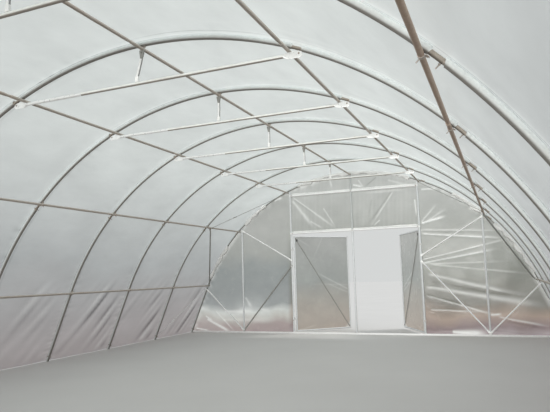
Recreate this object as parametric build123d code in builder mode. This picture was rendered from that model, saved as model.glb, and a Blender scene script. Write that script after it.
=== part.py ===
from build123d import *
from math import cos, radians, sin, tan
import os

os.makedirs("parts", exist_ok=True)

# The tunnel: X runs across it, Y along it and Z up from the ground.
# The origin is under the middle of the far gable's base rail.
bay_length = 1500.0
bay_count = 8
hoop_radius = 3840.0
ridge_height = 3450.0
purlin_step_angle = 22.4
lengths_per_step = 3

# Round tubes and pins are drawn with this many flats, and thin rods with fewer
tube_sides = 12
rod_sides = 8

# Tube diameters
hoop_tube = 48.0
purlin_tube = 32.0
tie_tube = 32.0
post_tube = 40.0
gable_brace_tube = 28.0
end_brace_tube = 28.0
tension_rod = 12.0
leaf_tube = 30.0
leaf_diagonal = 16.0

# Film, drawn thicker than the real sheet
film_thickness = 3.0

# Clearances
seat_gap = 0.3
film_gap = 0.5
frame_setback = 1.0
purlin_end_inset = 2.5

# Clamps, tie bar ends and droppers
clamp_length = 76.0
clamp_width = 38.0
clamp_thickness = 3.0
tie_plate_width = 55.0
tie_plate_thickness = 6.0
tie_plate_overlap = 10.0
tie_bolt_size = 14.0
tie_bolt_inset = 25.0
tie_hang = 12.0
tie_end_clearance = 35.0
strap_width = 20.0
strap_thickness = 4.0
saddle_length = 40.0
saddle_height = 12.0

# Gable frame
door_post_x = 1405.0
outer_post_x = 2620.0
door_head_z = 2200.0
upper_header_z = 3050.0
upper_brace_top_z = 2330.0
upper_brace_foot_z = 1600.0
lower_brace_top_z = 1490.0
lower_brace_foot_z = 60.0
corner_brace_top_z = 980.0
lock_rail_width = 30.0
lock_rail_depth = 12.0

# End bay braces
brace_inset = 55.0
rod_inset = 85.0
rod_foot_z = 60.0

# Door leaves and hinges
leaf_bottom_z = 40.0
leaf_top_z = 2140.0
left_leaf_angle = 43.5
right_leaf_angle = 63.3
meeting_gap = 12.0
hinge_axis_setback = 12.0
hinge_axis_out = 60.0
hinge_to_stile = 45.0
hinge_pin = 12.0
hinge_bore_gap = 0.3
hinge_pin_height = 42.0
hinge_plate_thickness = 12.0
hinge_plate_width = 12.0
eye_diameter = 22.0
eye_height = 30.0
eye_lift = 0.5
eye_arm_thickness = 8.0
low_hinge_z = 300.0
high_hinge_z = 1840.0

# Worked out from the sizes above
tunnel_length = bay_count * bay_length
hoop_count = bay_count + 1
arc_end = 3 * purlin_step_angle
arc_centre_z = ridge_height - hoop_radius
film_inside = hoop_tube / 2 + film_gap
cover_end = film_inside + film_thickness
purlin_radius = hoop_radius - hoop_tube / 2 - purlin_tube / 2 - film_gap
post_plane = hoop_tube / 2 - post_tube / 2 - frame_setback
hinge_x = door_post_x - post_tube / 2 + hinge_axis_setback
leaf_width = hinge_x - meeting_gap / 2
gable_ends = (("far", 0.0, 1), ("near", -tunnel_length, -1))
inner_hoops = [-number * bay_length for number in range(1, bay_count)]


def arch_point(angle, radius):
    """The point at this angle from the ridge on an arc round the hoops' centre, as X and Z."""
    return radius * sin(radians(angle)), arc_centre_z + radius * cos(radians(angle))


def leg_x(height, offset=0.0):
    """How far out a leg's line is at this height, moved this far outside the centre line."""
    shoulder_x, shoulder_z = arch_point(arc_end, hoop_radius + offset)
    return shoulder_x + (shoulder_z - height) / tan(radians(arc_end))


def arch_outline(offset):
    """Draws the arch at this offset outside the hoops' centre line, closed along the ground."""
    radius = hoop_radius + offset
    left_foot = (-leg_x(0, offset), 0)
    right_foot = (leg_x(0, offset), 0)
    left_shoulder = arch_point(-arc_end, radius)
    right_shoulder = arch_point(arc_end, radius)
    Line(left_foot, left_shoulder)
    ThreePointArc(left_shoulder, arch_point(0, radius), right_shoulder)
    Line(right_shoulder, right_foot)
    Line(right_foot, left_foot)


def bar_plane(start, finish):
    """The plane across the start of a straight bar."""
    return Plane(origin=start, z_dir=Vector(*finish) - Vector(*start))


def bar_length(start, finish):
    """The length of a straight bar."""
    return (Vector(*finish) - Vector(*start)).length


def end_gap(diameter, rise, run):
    """How far a sloping bar's end stays from the axis of the upright that it meets."""
    slope = rise / (rise**2 + run**2) ** 0.5
    return post_tube / 2 + seat_gap + diameter / 2 * slope


def leaf_plane(side, gable_y, outward, opening):
    """A leaf's plane: its origin is on the hinge axis and its X axis points to the free edge."""
    turn = radians(opening)
    axis = (side * hinge_x, gable_y + outward * hinge_axis_out, 0)
    return Plane(origin=axis, x_dir=(-side * cos(turn), outward * sin(turn), 0), z_dir=(0, 0, 1))


# Hoops: round tube in straight lengths, mitred on the arc, with tangent legs to the ground
length_angle = purlin_step_angle / lengths_per_step
corner_count = 6 * lengths_per_step + 1
cut_depth = hoop_tube
hoop_corners = [arch_point(-arc_end + number * length_angle, hoop_radius) for number in range(corner_count)]
left_end = (-leg_x(-cut_depth), -cut_depth)
right_end = (leg_x(-cut_depth), -cut_depth)

with BuildPart() as hoop_form:
    with BuildLine(Plane.XZ) as hoop_line:
        Polyline(left_end, *hoop_corners, right_end)
    with BuildSketch(Plane(origin=hoop_line.line @ 0, z_dir=hoop_line.line % 0)):
        RegularPolygon(hoop_tube / 2, tube_sides)
    sweep(path=hoop_line.line, transition=Transition.RIGHT)
    split(bisect_by=Plane.XY)

for number in range(hoop_count):
    with BuildPart() as hoop:
        with Locations((0, -number * bay_length, 0)):
            add(hoop_form.part)
    hoop.part.label = f"hoop_{number + 1}"
    export_step(hoop.part, f"parts/{hoop.part.label}.step")

# Purlins: tubes along the whole tunnel, under the hoops
purlin_end = hoop_tube / 2 - purlin_end_inset
purlin_angles = {
    "ridge_purlin": 0.0,
    "left_upper_purlin": -purlin_step_angle,
    "right_upper_purlin": purlin_step_angle,
    "left_mid_purlin": -2 * purlin_step_angle,
    "right_mid_purlin": 2 * purlin_step_angle,
    "left_low_purlin": -3 * purlin_step_angle,
    "right_low_purlin": 3 * purlin_step_angle,
}
for name, angle in purlin_angles.items():
    with BuildPart() as purlin:
        with BuildSketch(Plane.XZ.offset(-purlin_end)):
            with Locations(arch_point(angle, purlin_radius)):
                RegularPolygon(purlin_tube / 2, tube_sides)
        extrude(amount=tunnel_length + 2 * purlin_end)
    purlin.part.label = name
    export_step(purlin.part, f"parts/{name}.step")

# Purlin clamps: a pressed strap round each ridge, mid and low purlin, with flanges against the hoop
clamp_inside = purlin_tube / 2 + seat_gap
clamp_outside = clamp_inside + clamp_thickness
inner_corner = clamp_inside * tan(radians(22.5))
outer_corner = clamp_outside * tan(radians(22.5))
hoop_fall = clamp_length / 2 * tan(radians(length_angle / 2))
flange_top = purlin_tube / 2 + film_gap - hoop_fall - seat_gap
clamp_angles = [steps * purlin_step_angle for steps in (0, -2, 2, -3, 3)]

with BuildPart() as clamp_form:
    with BuildSketch(Plane.XZ):
        with BuildLine():
            Polyline(
                (0, -clamp_inside),
                (inner_corner, -clamp_inside),
                (clamp_inside, -inner_corner),
                (clamp_inside, flange_top),
                (clamp_length / 2, flange_top),
                (clamp_length / 2, flange_top - clamp_thickness),
                (clamp_outside, flange_top - clamp_thickness),
                (clamp_outside, -outer_corner),
                (outer_corner, -clamp_outside),
                (0, -clamp_outside),
            )
            mirror(about=Plane.YZ)
        make_face()
    extrude(amount=clamp_width / 2, both=True)

with BuildPart() as purlin_clamps:
    for angle in clamp_angles:
        x, z = arch_point(angle, purlin_radius)
        with Locations([Location((x, y, z), (0, angle, 0)) for y in inner_hoops]):
            add(clamp_form.part)
purlin_clamps.part.label = "purlin_clamps"
export_step(purlin_clamps.part, "parts/purlin_clamps.step")

# Tie bars: a level tube under each inner hoop. Its pressed ends pass under the upper purlins
# and meet the hoop on the straight length just outside them.
upper_x, upper_z = arch_point(purlin_step_angle, purlin_radius)
plate_top_z = upper_z - purlin_tube / 2 - tie_hang
plate_z = plate_top_z - tie_plate_thickness / 2
tie_z = plate_top_z - tie_tube / 2
tie_half_length = upper_x - tie_end_clearance
plate_start = tie_half_length - tie_plate_overlap
seat_angle = radians(purlin_step_angle + length_angle / 2)
seat_radius = hoop_radius * cos(radians(length_angle / 2)) - hoop_tube / 2 - seat_gap
plate_end = (seat_radius - (plate_top_z - arc_centre_z) * cos(seat_angle)) / sin(seat_angle)
plate_length = plate_end - plate_start
plate_middle = (plate_start + plate_end) / 2
bolt_x = plate_end - tie_bolt_inset
bolt_edge = bolt_x + tie_bolt_size / 2
bolt_top_z = arc_centre_z + (seat_radius - bolt_edge * sin(seat_angle)) / cos(seat_angle)
with BuildPart() as tie_bars:
    for y in inner_hoops:
        with BuildSketch(Plane(origin=(-tie_half_length, y, tie_z), z_dir=(1, 0, 0))):
            RegularPolygon(tie_tube / 2, tube_sides)
        extrude(amount=2 * tie_half_length)
        with Locations((-plate_middle, y, plate_z), (plate_middle, y, plate_z)):
            Box(plate_length, tie_plate_width, tie_plate_thickness)
        with BuildSketch(Plane.XY.offset(plate_z)):
            with Locations((-bolt_x, y), (bolt_x, y)):
                RegularPolygon(tie_bolt_size / 2, 6)
        extrude(amount=bolt_top_z - plate_z)
tie_bars.part.label = "tie_bars"
export_step(tie_bars.part, "parts/tie_bars.step")

# Droppers: a strap from each ridge clamp to a saddle on the tie bar
saddle_z = tie_z + tie_tube / 2 + seat_gap
strap_top = arc_centre_z + purlin_radius - clamp_outside - seat_gap
strap_bottom = saddle_z + saddle_height
with BuildPart() as droppers:
    with Locations([(0, y, saddle_z) for y in inner_hoops]):
        Box(saddle_length, tie_tube, saddle_height, align=(Align.CENTER, Align.CENTER, Align.MIN))
    with Locations([(0, y, strap_bottom) for y in inner_hoops]):
        strap_length = strap_top - strap_bottom
        Box(strap_width, strap_thickness, strap_length, align=(Align.CENTER, Align.CENTER, Align.MIN))
droppers.part.label = "droppers"
export_step(droppers.part, "parts/droppers.step")

# Side and roof film: one sheet over the hoops, down to the ground on both sides
with BuildPart() as cover_film:
    with BuildSketch(Plane.XZ.offset(-cover_end)):
        with BuildLine():
            arch_outline(film_inside + film_thickness)
        make_face()
        with BuildLine():
            arch_outline(film_inside)
        make_face(mode=Mode.SUBTRACT)
    extrude(amount=tunnel_length + 2 * cover_end)
cover_film.part.label = "cover_film"
export_step(cover_film.part, "parts/cover_film.step")

# Gable frames and films, at the far end and at the near end
rail_half_length = leg_x(post_tube) - hoop_tube / 2 / sin(radians(arc_end)) - seat_gap
post_bottom = post_tube + seat_gap
ridge_seat_z = arc_centre_z + purlin_radius - purlin_tube / 2 - seat_gap
header_half_length = door_post_x - post_tube / 2 - seat_gap

for end, gable_y, outward in gable_ends:
    frame_y = gable_y + outward * post_plane
    film_y = gable_y + outward * (film_inside + film_thickness / 2)

    with BuildPart() as base_rail:
        with Locations((0, frame_y, post_tube / 2)):
            Box(2 * rail_half_length, post_tube, post_tube)
    base_rail.part.label = f"{end}_base_rail"
    export_step(base_rail.part, f"parts/{base_rail.part.label}.step")

    post_ends = (
        (post_bottom, door_head_z - post_tube / 2 - seat_gap),
        (door_head_z + post_tube / 2 + seat_gap, upper_header_z - post_tube / 2 - seat_gap),
        (upper_header_z + post_tube / 2 + seat_gap, ridge_seat_z),
    )
    with BuildPart() as centre_post:
        for low, high in post_ends:
            with BuildSketch(Plane((0, frame_y, low))):
                RegularPolygon(post_tube / 2, tube_sides)
            extrude(amount=high - low)
    centre_post.part.label = f"{end}_centre_post"
    export_step(centre_post.part, f"parts/{centre_post.part.label}.step")

    for label, post_x in (("door_posts", door_post_x), ("outer_posts", outer_post_x)):
        with BuildPart() as uncut_posts:
            with BuildSketch(Plane((0, frame_y, post_bottom))):
                with Locations((-post_x, 0), (post_x, 0)):
                    RegularPolygon(post_tube / 2, tube_sides)
            extrude(amount=ridge_height)
            with Locations((0, gable_y, 0)):
                add(hoop_form.part, mode=Mode.SUBTRACT)
        with BuildPart() as posts:
            add(uncut_posts.solids().sort_by(Axis.Z)[:2])
        posts.part.label = f"{end}_{label}"
        export_step(posts.part, f"parts/{posts.part.label}.step")

    with BuildPart() as headers:
        with BuildSketch(Plane(origin=(-header_half_length, frame_y, 0), z_dir=(1, 0, 0), x_dir=(0, 0, 1))):
            with Locations((door_head_z, 0), (upper_header_z, 0)):
                RegularPolygon(post_tube / 2, tube_sides)
        extrude(amount=2 * header_half_length)
    headers.part.label = f"{end}_headers"
    export_step(headers.part, f"parts/{headers.part.label}.step")

    lock_y = film_y + outward * (film_thickness / 2 + seat_gap + lock_rail_depth / 2)
    with BuildPart() as lock_rails:
        with Locations((0, lock_y, door_head_z), (0, lock_y, upper_header_z)):
            Box(2 * header_half_length, lock_rail_depth, lock_rail_width)
    lock_rails.part.label = f"{end}_lock_rails"
    export_step(lock_rails.part, f"parts/{lock_rails.part.label}.step")

    post_gap = outer_post_x - door_post_x
    upper_gap = end_gap(gable_brace_tube, upper_brace_top_z - upper_brace_foot_z, post_gap)
    lower_gap = end_gap(gable_brace_tube, lower_brace_top_z - lower_brace_foot_z, post_gap)
    corner_top_x = leg_x(corner_brace_top_z, -hoop_tube / 2 - gable_brace_tube / 2 - seat_gap)
    corner_rise = corner_brace_top_z - lower_brace_foot_z
    corner_foot_x = outer_post_x + end_gap(gable_brace_tube, corner_rise, corner_top_x - outer_post_x)
    brace_ends = (
        (outer_post_x - upper_gap, upper_brace_top_z, door_post_x + upper_gap, upper_brace_foot_z),
        (door_post_x + lower_gap, lower_brace_top_z, outer_post_x - lower_gap, lower_brace_foot_z),
        (corner_foot_x, lower_brace_foot_z, corner_top_x, corner_brace_top_z),
    )
    with BuildPart() as braces:
        for side in (-1, 1):
            for start_x, start_z, finish_x, finish_z in brace_ends:
                start = (side * start_x, frame_y, start_z)
                finish = (side * finish_x, frame_y, finish_z)
                with BuildSketch(bar_plane(start, finish)):
                    RegularPolygon(gable_brace_tube / 2, tube_sides)
                extrude(amount=bar_length(start, finish))
    braces.part.label = f"{end}_gable_braces"
    export_step(braces.part, f"parts/{braces.part.label}.step")

    with BuildPart() as gable_film:
        with BuildSketch(Plane.XZ.offset(-film_y)):
            with BuildLine():
                arch_outline(film_inside - seat_gap)
            make_face()
            Rectangle(2 * door_post_x, 2 * door_head_z, mode=Mode.SUBTRACT)
        extrude(amount=film_thickness / 2, both=True)
    gable_film.part.label = f"{end}_gable_film"
    export_step(gable_film.part, f"parts/{gable_film.part.label}.step")

    plate_root = post_plane + post_tube / 2 + seat_gap
    plate_reach = hinge_axis_out + hinge_plate_width / 2 - plate_root
    plate_y = gable_y + outward * (plate_root + plate_reach / 2)
    axis_y = gable_y + outward * hinge_axis_out
    with BuildPart() as hinges:
        for hinge_z in (low_hinge_z, high_hinge_z):
            plate_z = hinge_z - hinge_plate_thickness / 2
            with Locations((-hinge_x, plate_y, plate_z), (hinge_x, plate_y, plate_z)):
                Box(hinge_plate_width, plate_reach, hinge_plate_thickness)
            with BuildSketch(Plane.XY.offset(plate_z)):
                with Locations((-hinge_x, axis_y), (hinge_x, axis_y)):
                    RegularPolygon(hinge_pin / 2, tube_sides)
            extrude(amount=hinge_pin_height + hinge_plate_thickness / 2)
    hinges.part.label = f"{end}_door_hinges"
    export_step(hinges.part, f"parts/{hinges.part.label}.step")

# End bay braces: a tube, a rod up and a rod down on each side, under the purlins
brace_radius = purlin_radius - purlin_tube / 2 - seat_gap - end_brace_tube / 2
rod_radius = purlin_radius - purlin_tube / 2 - seat_gap - tension_rod / 2
mid_brace_point = arch_point(2 * purlin_step_angle, brace_radius)
low_brace_point = arch_point(3 * purlin_step_angle, brace_radius)
mid_rod_point = arch_point(2 * purlin_step_angle, rod_radius)
upper_rod_point = arch_point(purlin_step_angle, rod_radius)
low_rod_point = arch_point(3 * purlin_step_angle, rod_radius)
rod_side_gap = hoop_tube / 2 + tension_rod / 2 + seat_gap

for end, gable_y, outward in gable_ends:
    gable_side_y = gable_y - outward * brace_inset
    rod_gable_y = gable_y - outward * rod_inset
    hoop_side_y = gable_y - outward * (bay_length - brace_inset)
    rod_hoop_y = gable_y - outward * (bay_length - rod_inset)
    rod_foot_y = gable_y - outward * (bay_length - rod_side_gap)
    end_brace_ends = (
        (mid_brace_point, hoop_side_y, low_brace_point, gable_side_y, end_brace_tube, tube_sides),
        (mid_rod_point, rod_hoop_y, upper_rod_point, rod_gable_y, tension_rod, rod_sides),
        ((leg_x(rod_foot_z), rod_foot_z), rod_foot_y, low_rod_point, rod_gable_y, tension_rod, rod_sides),
    )
    with BuildPart() as end_braces:
        for side in (-1, 1):
            for start_point, start_y, finish_point, finish_y, diameter, sides in end_brace_ends:
                start = (side * start_point[0], start_y, start_point[1])
                finish = (side * finish_point[0], finish_y, finish_point[1])
                with BuildSketch(bar_plane(start, finish)):
                    RegularPolygon(diameter / 2, sides)
                extrude(amount=bar_length(start, finish))
    end_braces.part.label = f"{end}_end_braces"
    export_step(end_braces.part, f"parts/{end_braces.part.label}.step")

# Door leaves: a mitred tube frame with one diagonal, covered outside, hung on two pins
free_stile_x = leaf_width - leaf_tube / 2
low_corner_z = leaf_bottom_z + leaf_tube / 2
high_corner_z = leaf_top_z - leaf_tube / 2
diagonal_start = (hinge_to_stile, 0, high_corner_z)
diagonal_finish = (free_stile_x, 0, low_corner_z)
with BuildPart() as leaf_frame_form:
    with BuildLine(Plane.XZ) as leaf_line:
        Polyline(
            (hinge_to_stile, low_corner_z),
            (hinge_to_stile, high_corner_z),
            (free_stile_x, high_corner_z),
            (free_stile_x, low_corner_z),
            close=True,
        )
    with BuildSketch(Plane(origin=(hinge_to_stile, 0, low_corner_z), z_dir=(0, 0, 1))):
        RegularPolygon(leaf_tube / 2, tube_sides)
    sweep(path=leaf_line.line, transition=Transition.RIGHT)
    with BuildSketch(bar_plane(diagonal_start, diagonal_finish)):
        RegularPolygon(leaf_diagonal / 2, rod_sides)
    extrude(amount=bar_length(diagonal_start, diagonal_finish))
    for hinge_z in (low_hinge_z, high_hinge_z):
        with BuildSketch(Plane.XY.offset(hinge_z + eye_lift)):
            RegularPolygon(eye_diameter / 2, tube_sides)
            with Locations((hinge_to_stile / 2, 0)):
                Rectangle(hinge_to_stile, eye_arm_thickness)
            Circle(hinge_pin / 2 + hinge_bore_gap, mode=Mode.SUBTRACT)
        extrude(amount=eye_height)

stile_edge = hinge_to_stile - leaf_tube / 2
with BuildPart() as leaf_film_form:
    with Locations(((stile_edge + leaf_width) / 2, 0, (leaf_bottom_z + leaf_top_z) / 2)):
        Box(leaf_width - stile_edge, film_thickness, leaf_top_z - leaf_bottom_z)

leaves = (
    ("far_left", -1, 0.0, 1, left_leaf_angle),
    ("far_right", 1, 0.0, 1, right_leaf_angle),
    ("near_left", -1, -tunnel_length, -1, 0.0),
    ("near_right", 1, -tunnel_length, -1, 0.0),
)
for name, side, gable_y, outward, opening in leaves:
    place = leaf_plane(side, gable_y, outward, opening)
    film_face = -side * outward * (leaf_tube / 2 + seat_gap + film_thickness / 2)

    with BuildPart() as leaf_frame:
        with Locations(place):
            add(leaf_frame_form.part)
    leaf_frame.part.label = f"{name}_leaf_frame"
    export_step(leaf_frame.part, f"parts/{leaf_frame.part.label}.step")

    with BuildPart() as leaf_film:
        with Locations(place * Location((0, film_face, 0))):
            add(leaf_film_form.part)
    leaf_film.part.label = f"{name}_leaf_film"
    export_step(leaf_film.part, f"parts/{leaf_film.part.label}.step")
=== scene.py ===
import math
import random
from collections import namedtuple

import bmesh
import bpy
import numpy as np
from mathutils import Matrix, Vector


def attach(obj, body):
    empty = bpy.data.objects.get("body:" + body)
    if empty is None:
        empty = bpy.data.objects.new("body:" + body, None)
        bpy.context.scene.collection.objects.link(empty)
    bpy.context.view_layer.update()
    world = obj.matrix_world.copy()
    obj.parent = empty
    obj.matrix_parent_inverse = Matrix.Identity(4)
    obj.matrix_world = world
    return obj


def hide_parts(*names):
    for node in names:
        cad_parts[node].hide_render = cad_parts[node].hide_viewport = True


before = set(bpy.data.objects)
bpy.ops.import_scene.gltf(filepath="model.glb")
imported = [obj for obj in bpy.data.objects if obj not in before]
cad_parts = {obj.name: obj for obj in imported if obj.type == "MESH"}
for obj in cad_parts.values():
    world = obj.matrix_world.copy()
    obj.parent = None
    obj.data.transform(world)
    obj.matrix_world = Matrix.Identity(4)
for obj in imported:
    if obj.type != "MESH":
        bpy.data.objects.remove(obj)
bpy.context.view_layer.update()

# The tunnel in metres: X across, Y along it, Z up, the far gable at Y = 0
BAY = 1.5
BAYS = 8
LENGTH = BAY * BAYS
INNER = [-BAY * k for k in range(1, BAYS)]
RADIUS = 3.84
CENTRE_Z = 3.45 - RADIUS
STEP = 22.4
ARC_END = math.radians(3 * STEP)
PURLIN_ANGLES = {"ridge": 0.0, "left_upper": -STEP, "right_upper": STEP, "left_mid": -2 * STEP,
                 "right_mid": 2 * STEP, "left_low": -3 * STEP, "right_low": 3 * STEP}

# The tubes' radii, and the gap between pieces that only just meet
HOOP = 0.024
PURLIN = 0.016
TIE = 0.016
POST = 0.020
BRACE = 0.014
LEAF_TUBE = 0.015
GAP = 0.0003

# Where pieces stand: radii, distances outside the hoops' centre line, heights and places along X
PURLIN_AT = RADIUS - HOOP - PURLIN - 0.0005
FILM_OUT = HOOP + 0.002
COVER_END = HOOP + 0.0035
DOOR_X = 1.405
OUTER_X = 2.620
RAIL_TOP = 0.0403
HEAD_Z = 2.200
HEADER_Z = 3.050
HALF_HEADER = DOOR_X - POST - GAP
POST_PLANE = HOOP - POST - 0.001
HINGE_X = 1.397
HINGE_OUT = 0.060
HINGE_HEIGHTS = (0.300, 1.840)


def arc(angle, radius, y=0.0):
    """A point at this angle in degrees from the ridge, at this distance from the hoops' centre."""
    a = math.radians(angle)
    return Vector((radius * math.sin(a), y, CENTRE_Z + radius * math.cos(a)))


def skin(s, out):
    """X and Z at the distance s along the arch from the ridge, this far outside the hoops' centre line."""
    s = np.asarray(s, float)
    near = np.clip(s, -RADIUS * ARC_END, RADIUS * ARC_END)
    a = near / RADIUS
    rest = s - near
    x = (RADIUS + out) * np.sin(a) + rest * np.cos(a)
    z = CENTRE_Z + (RADIUS + out) * np.cos(a) - np.abs(rest) * np.abs(np.sin(a))
    return x, z


def leg_x(z, out=0.0):
    """How far out a leg is at this height."""
    a = ARC_END
    return (RADIUS + out) * math.sin(a) + (CENTRE_Z + (RADIUS + out) * math.cos(a) - z) / math.tan(a)


HALF_ARC = RADIUS * ARC_END + (CENTRE_Z + RADIUS * math.cos(ARC_END)) / math.sin(ARC_END)


def smooth(low, high, value):
    """A soft step from 0 at low to 1 at high, which falls where low is the higher of the two."""
    t = np.clip((np.asarray(value, float) - low) / (high - low), 0, 1)
    return t * t * (3 - 2 * t)


def bell(value, width, power=2):
    """1 where the value is 0, falling to 0 past this width on both sides."""
    return np.exp(-(value / width) ** power)


# Building shapes


def put(name, data):
    """A new object in the scene."""
    obj = bpy.data.objects.new(name, data)
    bpy.context.scene.collection.objects.link(obj)
    return obj


FORMS = {}

# A bolt's washer, nut and end: corners, then radius, height, lift and bevel as shares of its size
BOLT_PARTS = ((18, 0.95, 0.18, 0.0, 0.05), (6, 0.8, 0.62, 0.16, 0.08), (10, 0.4, 1.05, 0.2, 0.07))


def place(point, z, x=None):
    """A frame at point whose Z axis is z and whose X axis is near x."""
    z = Vector(z).normalized()
    x = Vector(x) if x is not None else Vector((0, 1, 0) if abs(z.y) < 0.9 else (1, 0, 0))
    x = (x - z * x.dot(z)).normalized()
    spot = Matrix((x, z.cross(x), z)).transposed().to_4x4()
    spot.translation = Vector(point)
    return spot


def ngon(count, radius):
    """The outline of a regular polygon."""
    turns = [math.tau * k / count for k in range(count)]
    return tuple((radius * math.cos(turn), radius * math.sin(turn)) for turn in turns)


def rounded(width, height, radius, steps=4):
    """The outline of a rectangle with round corners."""
    points = []
    for cx, cy, turn in ((1, 1, 0), (-1, 1, 90), (-1, -1, 180), (1, -1, 270)):
        for k in range(steps + 1):
            a = math.radians(turn + 90 * k / steps)
            x = cx * (width / 2 - radius) + radius * math.cos(a)
            y = cy * (height / 2 - radius) + radius * math.sin(a)
            points.append((x, y))
    return tuple(points)


class Shape:
    """Gathers the points and faces of one piece. A face's kind is its place in the list of materials."""

    def __init__(self):
        self.points = []
        self.faces = []
        self.kinds = []

    def add(self, points, faces, spot=None, kind=0):
        base = len(self.points)
        self.points += [spot @ Vector(p) if spot else Vector(p) for p in points]
        self.faces += [[base + i for i in f] for f in faces]
        self.kinds += kind if isinstance(kind, list) else [kind] * len(faces)

    def bar(self, path, size, across=(0, 1, 0), sides=16, kind=0, spot=None, ground=False):
        """A bar along path. across is the direction of its width.

        size is a radius, or a half width and half thickness, or a list with one of these for each point.
        """
        path = [Vector(p) for p in path]
        last = len(path) - 1
        points = []
        for i, p in enumerate(path):
            ahead = (path[min(i + 1, last)] - path[max(i - 1, 0)]).normalized()
            wide = Vector(across)
            wide = (wide - ahead * wide.dot(ahead)).normalized()
            high = ahead.cross(wide)
            here = size[i] if isinstance(size, list) else size
            w, h = here if isinstance(here, tuple) else (here, here)
            power = 1.0 if abs(w - h) < 0.002 else 0.45
            for k in range(sides):
                c = math.cos(math.tau * (k + 0.5) / sides)
                s = math.sin(math.tau * (k + 0.5) / sides)
                q = p + wide * math.copysign(w * abs(c) ** power, c)
                q = q + high * math.copysign(h * abs(s) ** power, s)
                if ground and i in (0, last):
                    q -= ahead * (q.z / ahead.z)
                points.append(q)
        faces = []
        for i in range(last):
            for k in range(sides):
                j = (k + 1) % sides
                faces.append([i * sides + k, i * sides + j, (i + 1) * sides + j, (i + 1) * sides + k])
        faces += [list(range(sides))[::-1], [last * sides + k for k in range(sides)]]
        if isinstance(kind, list):
            kind = [k for k in kind[:last] for _ in range(sides)] + [kind[0], kind[last - 1]]
        self.add(points, faces, spot, kind)

    def strut(self, a, b, ends, shift=Vector(), middle=(), **options):
        """A bar from a to b with like ends. A stop has its distance in, its size and its share of shift."""
        ahead = (b - a).normalized()
        path = [a + ahead * d + shift * share for d, _, share in ends]
        path += [a + (b - a) * f for f in middle]
        path += [b - ahead * d + shift * share for d, _, share in reversed(ends)]
        sizes = [size for _, size, _ in ends]
        self.bar(path, sizes + sizes[-1:] * len(middle) + sizes[::-1], **options)

    def prism(self, outline, depth, spot, bevel=0.0, kind=0):
        """An outline raised along the frame's Z axis, with its rims bevelled."""
        key = (outline, depth, bevel)
        if key not in FORMS:
            bm = bmesh.new()
            face = bm.faces.new([bm.verts.new((x, y, 0)) for x, y in outline])
            raised = bmesh.ops.extrude_face_region(bm, geom=[face])["geom"]
            top = [g for g in raised if isinstance(g, bmesh.types.BMVert)]
            bmesh.ops.translate(bm, verts=top, vec=(0, 0, depth))
            bmesh.ops.recalc_face_normals(bm, faces=bm.faces)
            if bevel:
                rims = [e for e in bm.edges if abs(e.verts[0].co.z - e.verts[1].co.z) < 1e-7]
                bmesh.ops.bevel(bm, geom=rims, offset=bevel, segments=2, profile=0.6, affect="EDGES",
                                clamp_overlap=True)
            bm.verts.index_update()
            FORMS[key] = [v.co.copy() for v in bm.verts], [[v.index for v in f.verts] for f in bm.faces]
            bm.free()
        self.add(*FORMS[key], spot, kind)

    def block(self, centre, size, radius=0.003, spot=None, kind=0, bevel=0.001):
        """A block with round upright edges and bevelled rims."""
        low = Matrix.Translation(Vector(centre) - Vector((0, 0, size[2] / 2)))
        self.prism(rounded(size[0], size[1], radius), size[2], spot @ low if spot else low, bevel, kind)

    def bolt(self, point, axis, size=0.012, kind=1, spot=None):
        """A washer, a nut and a bolt's end that stand on point."""
        here = place(point, axis)
        here = spot @ here if spot else here
        for corners, radius, height, lift, bevel in BOLT_PARTS:
            raised = here @ Matrix.Translation((0, 0, size * lift))
            self.prism(ngon(corners, size * radius), size * height, raised, size * bevel, kind)

    def band(self, point, axis, width):
        """A clamp band round a post or a header."""
        spot = place(point, axis) @ Matrix.Translation((0, 0, -width / 2))
        self.prism(ngon(24, POST + 0.0028), width, spot, 0.0012)

    def piece(self, name, materials, nodes=(), body="tunnel", sharp=38.0):
        """Makes the object, which rides on a body and stands for these nodes."""
        mesh = bpy.data.meshes.new(name)
        mesh.from_pydata([tuple(p) for p in self.points], [], self.faces)
        for material in materials:
            mesh.materials.append(material)
        mesh.polygons.foreach_set("use_smooth", [True] * len(mesh.polygons))
        mesh.polygons.foreach_set("material_index", self.kinds)
        mesh.set_sharp_from_angle(angle=math.radians(sharp))
        obj = put(name, mesh)
        if nodes:
            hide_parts(*nodes)
        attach(obj, body)
        return obj


# Materials


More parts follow.
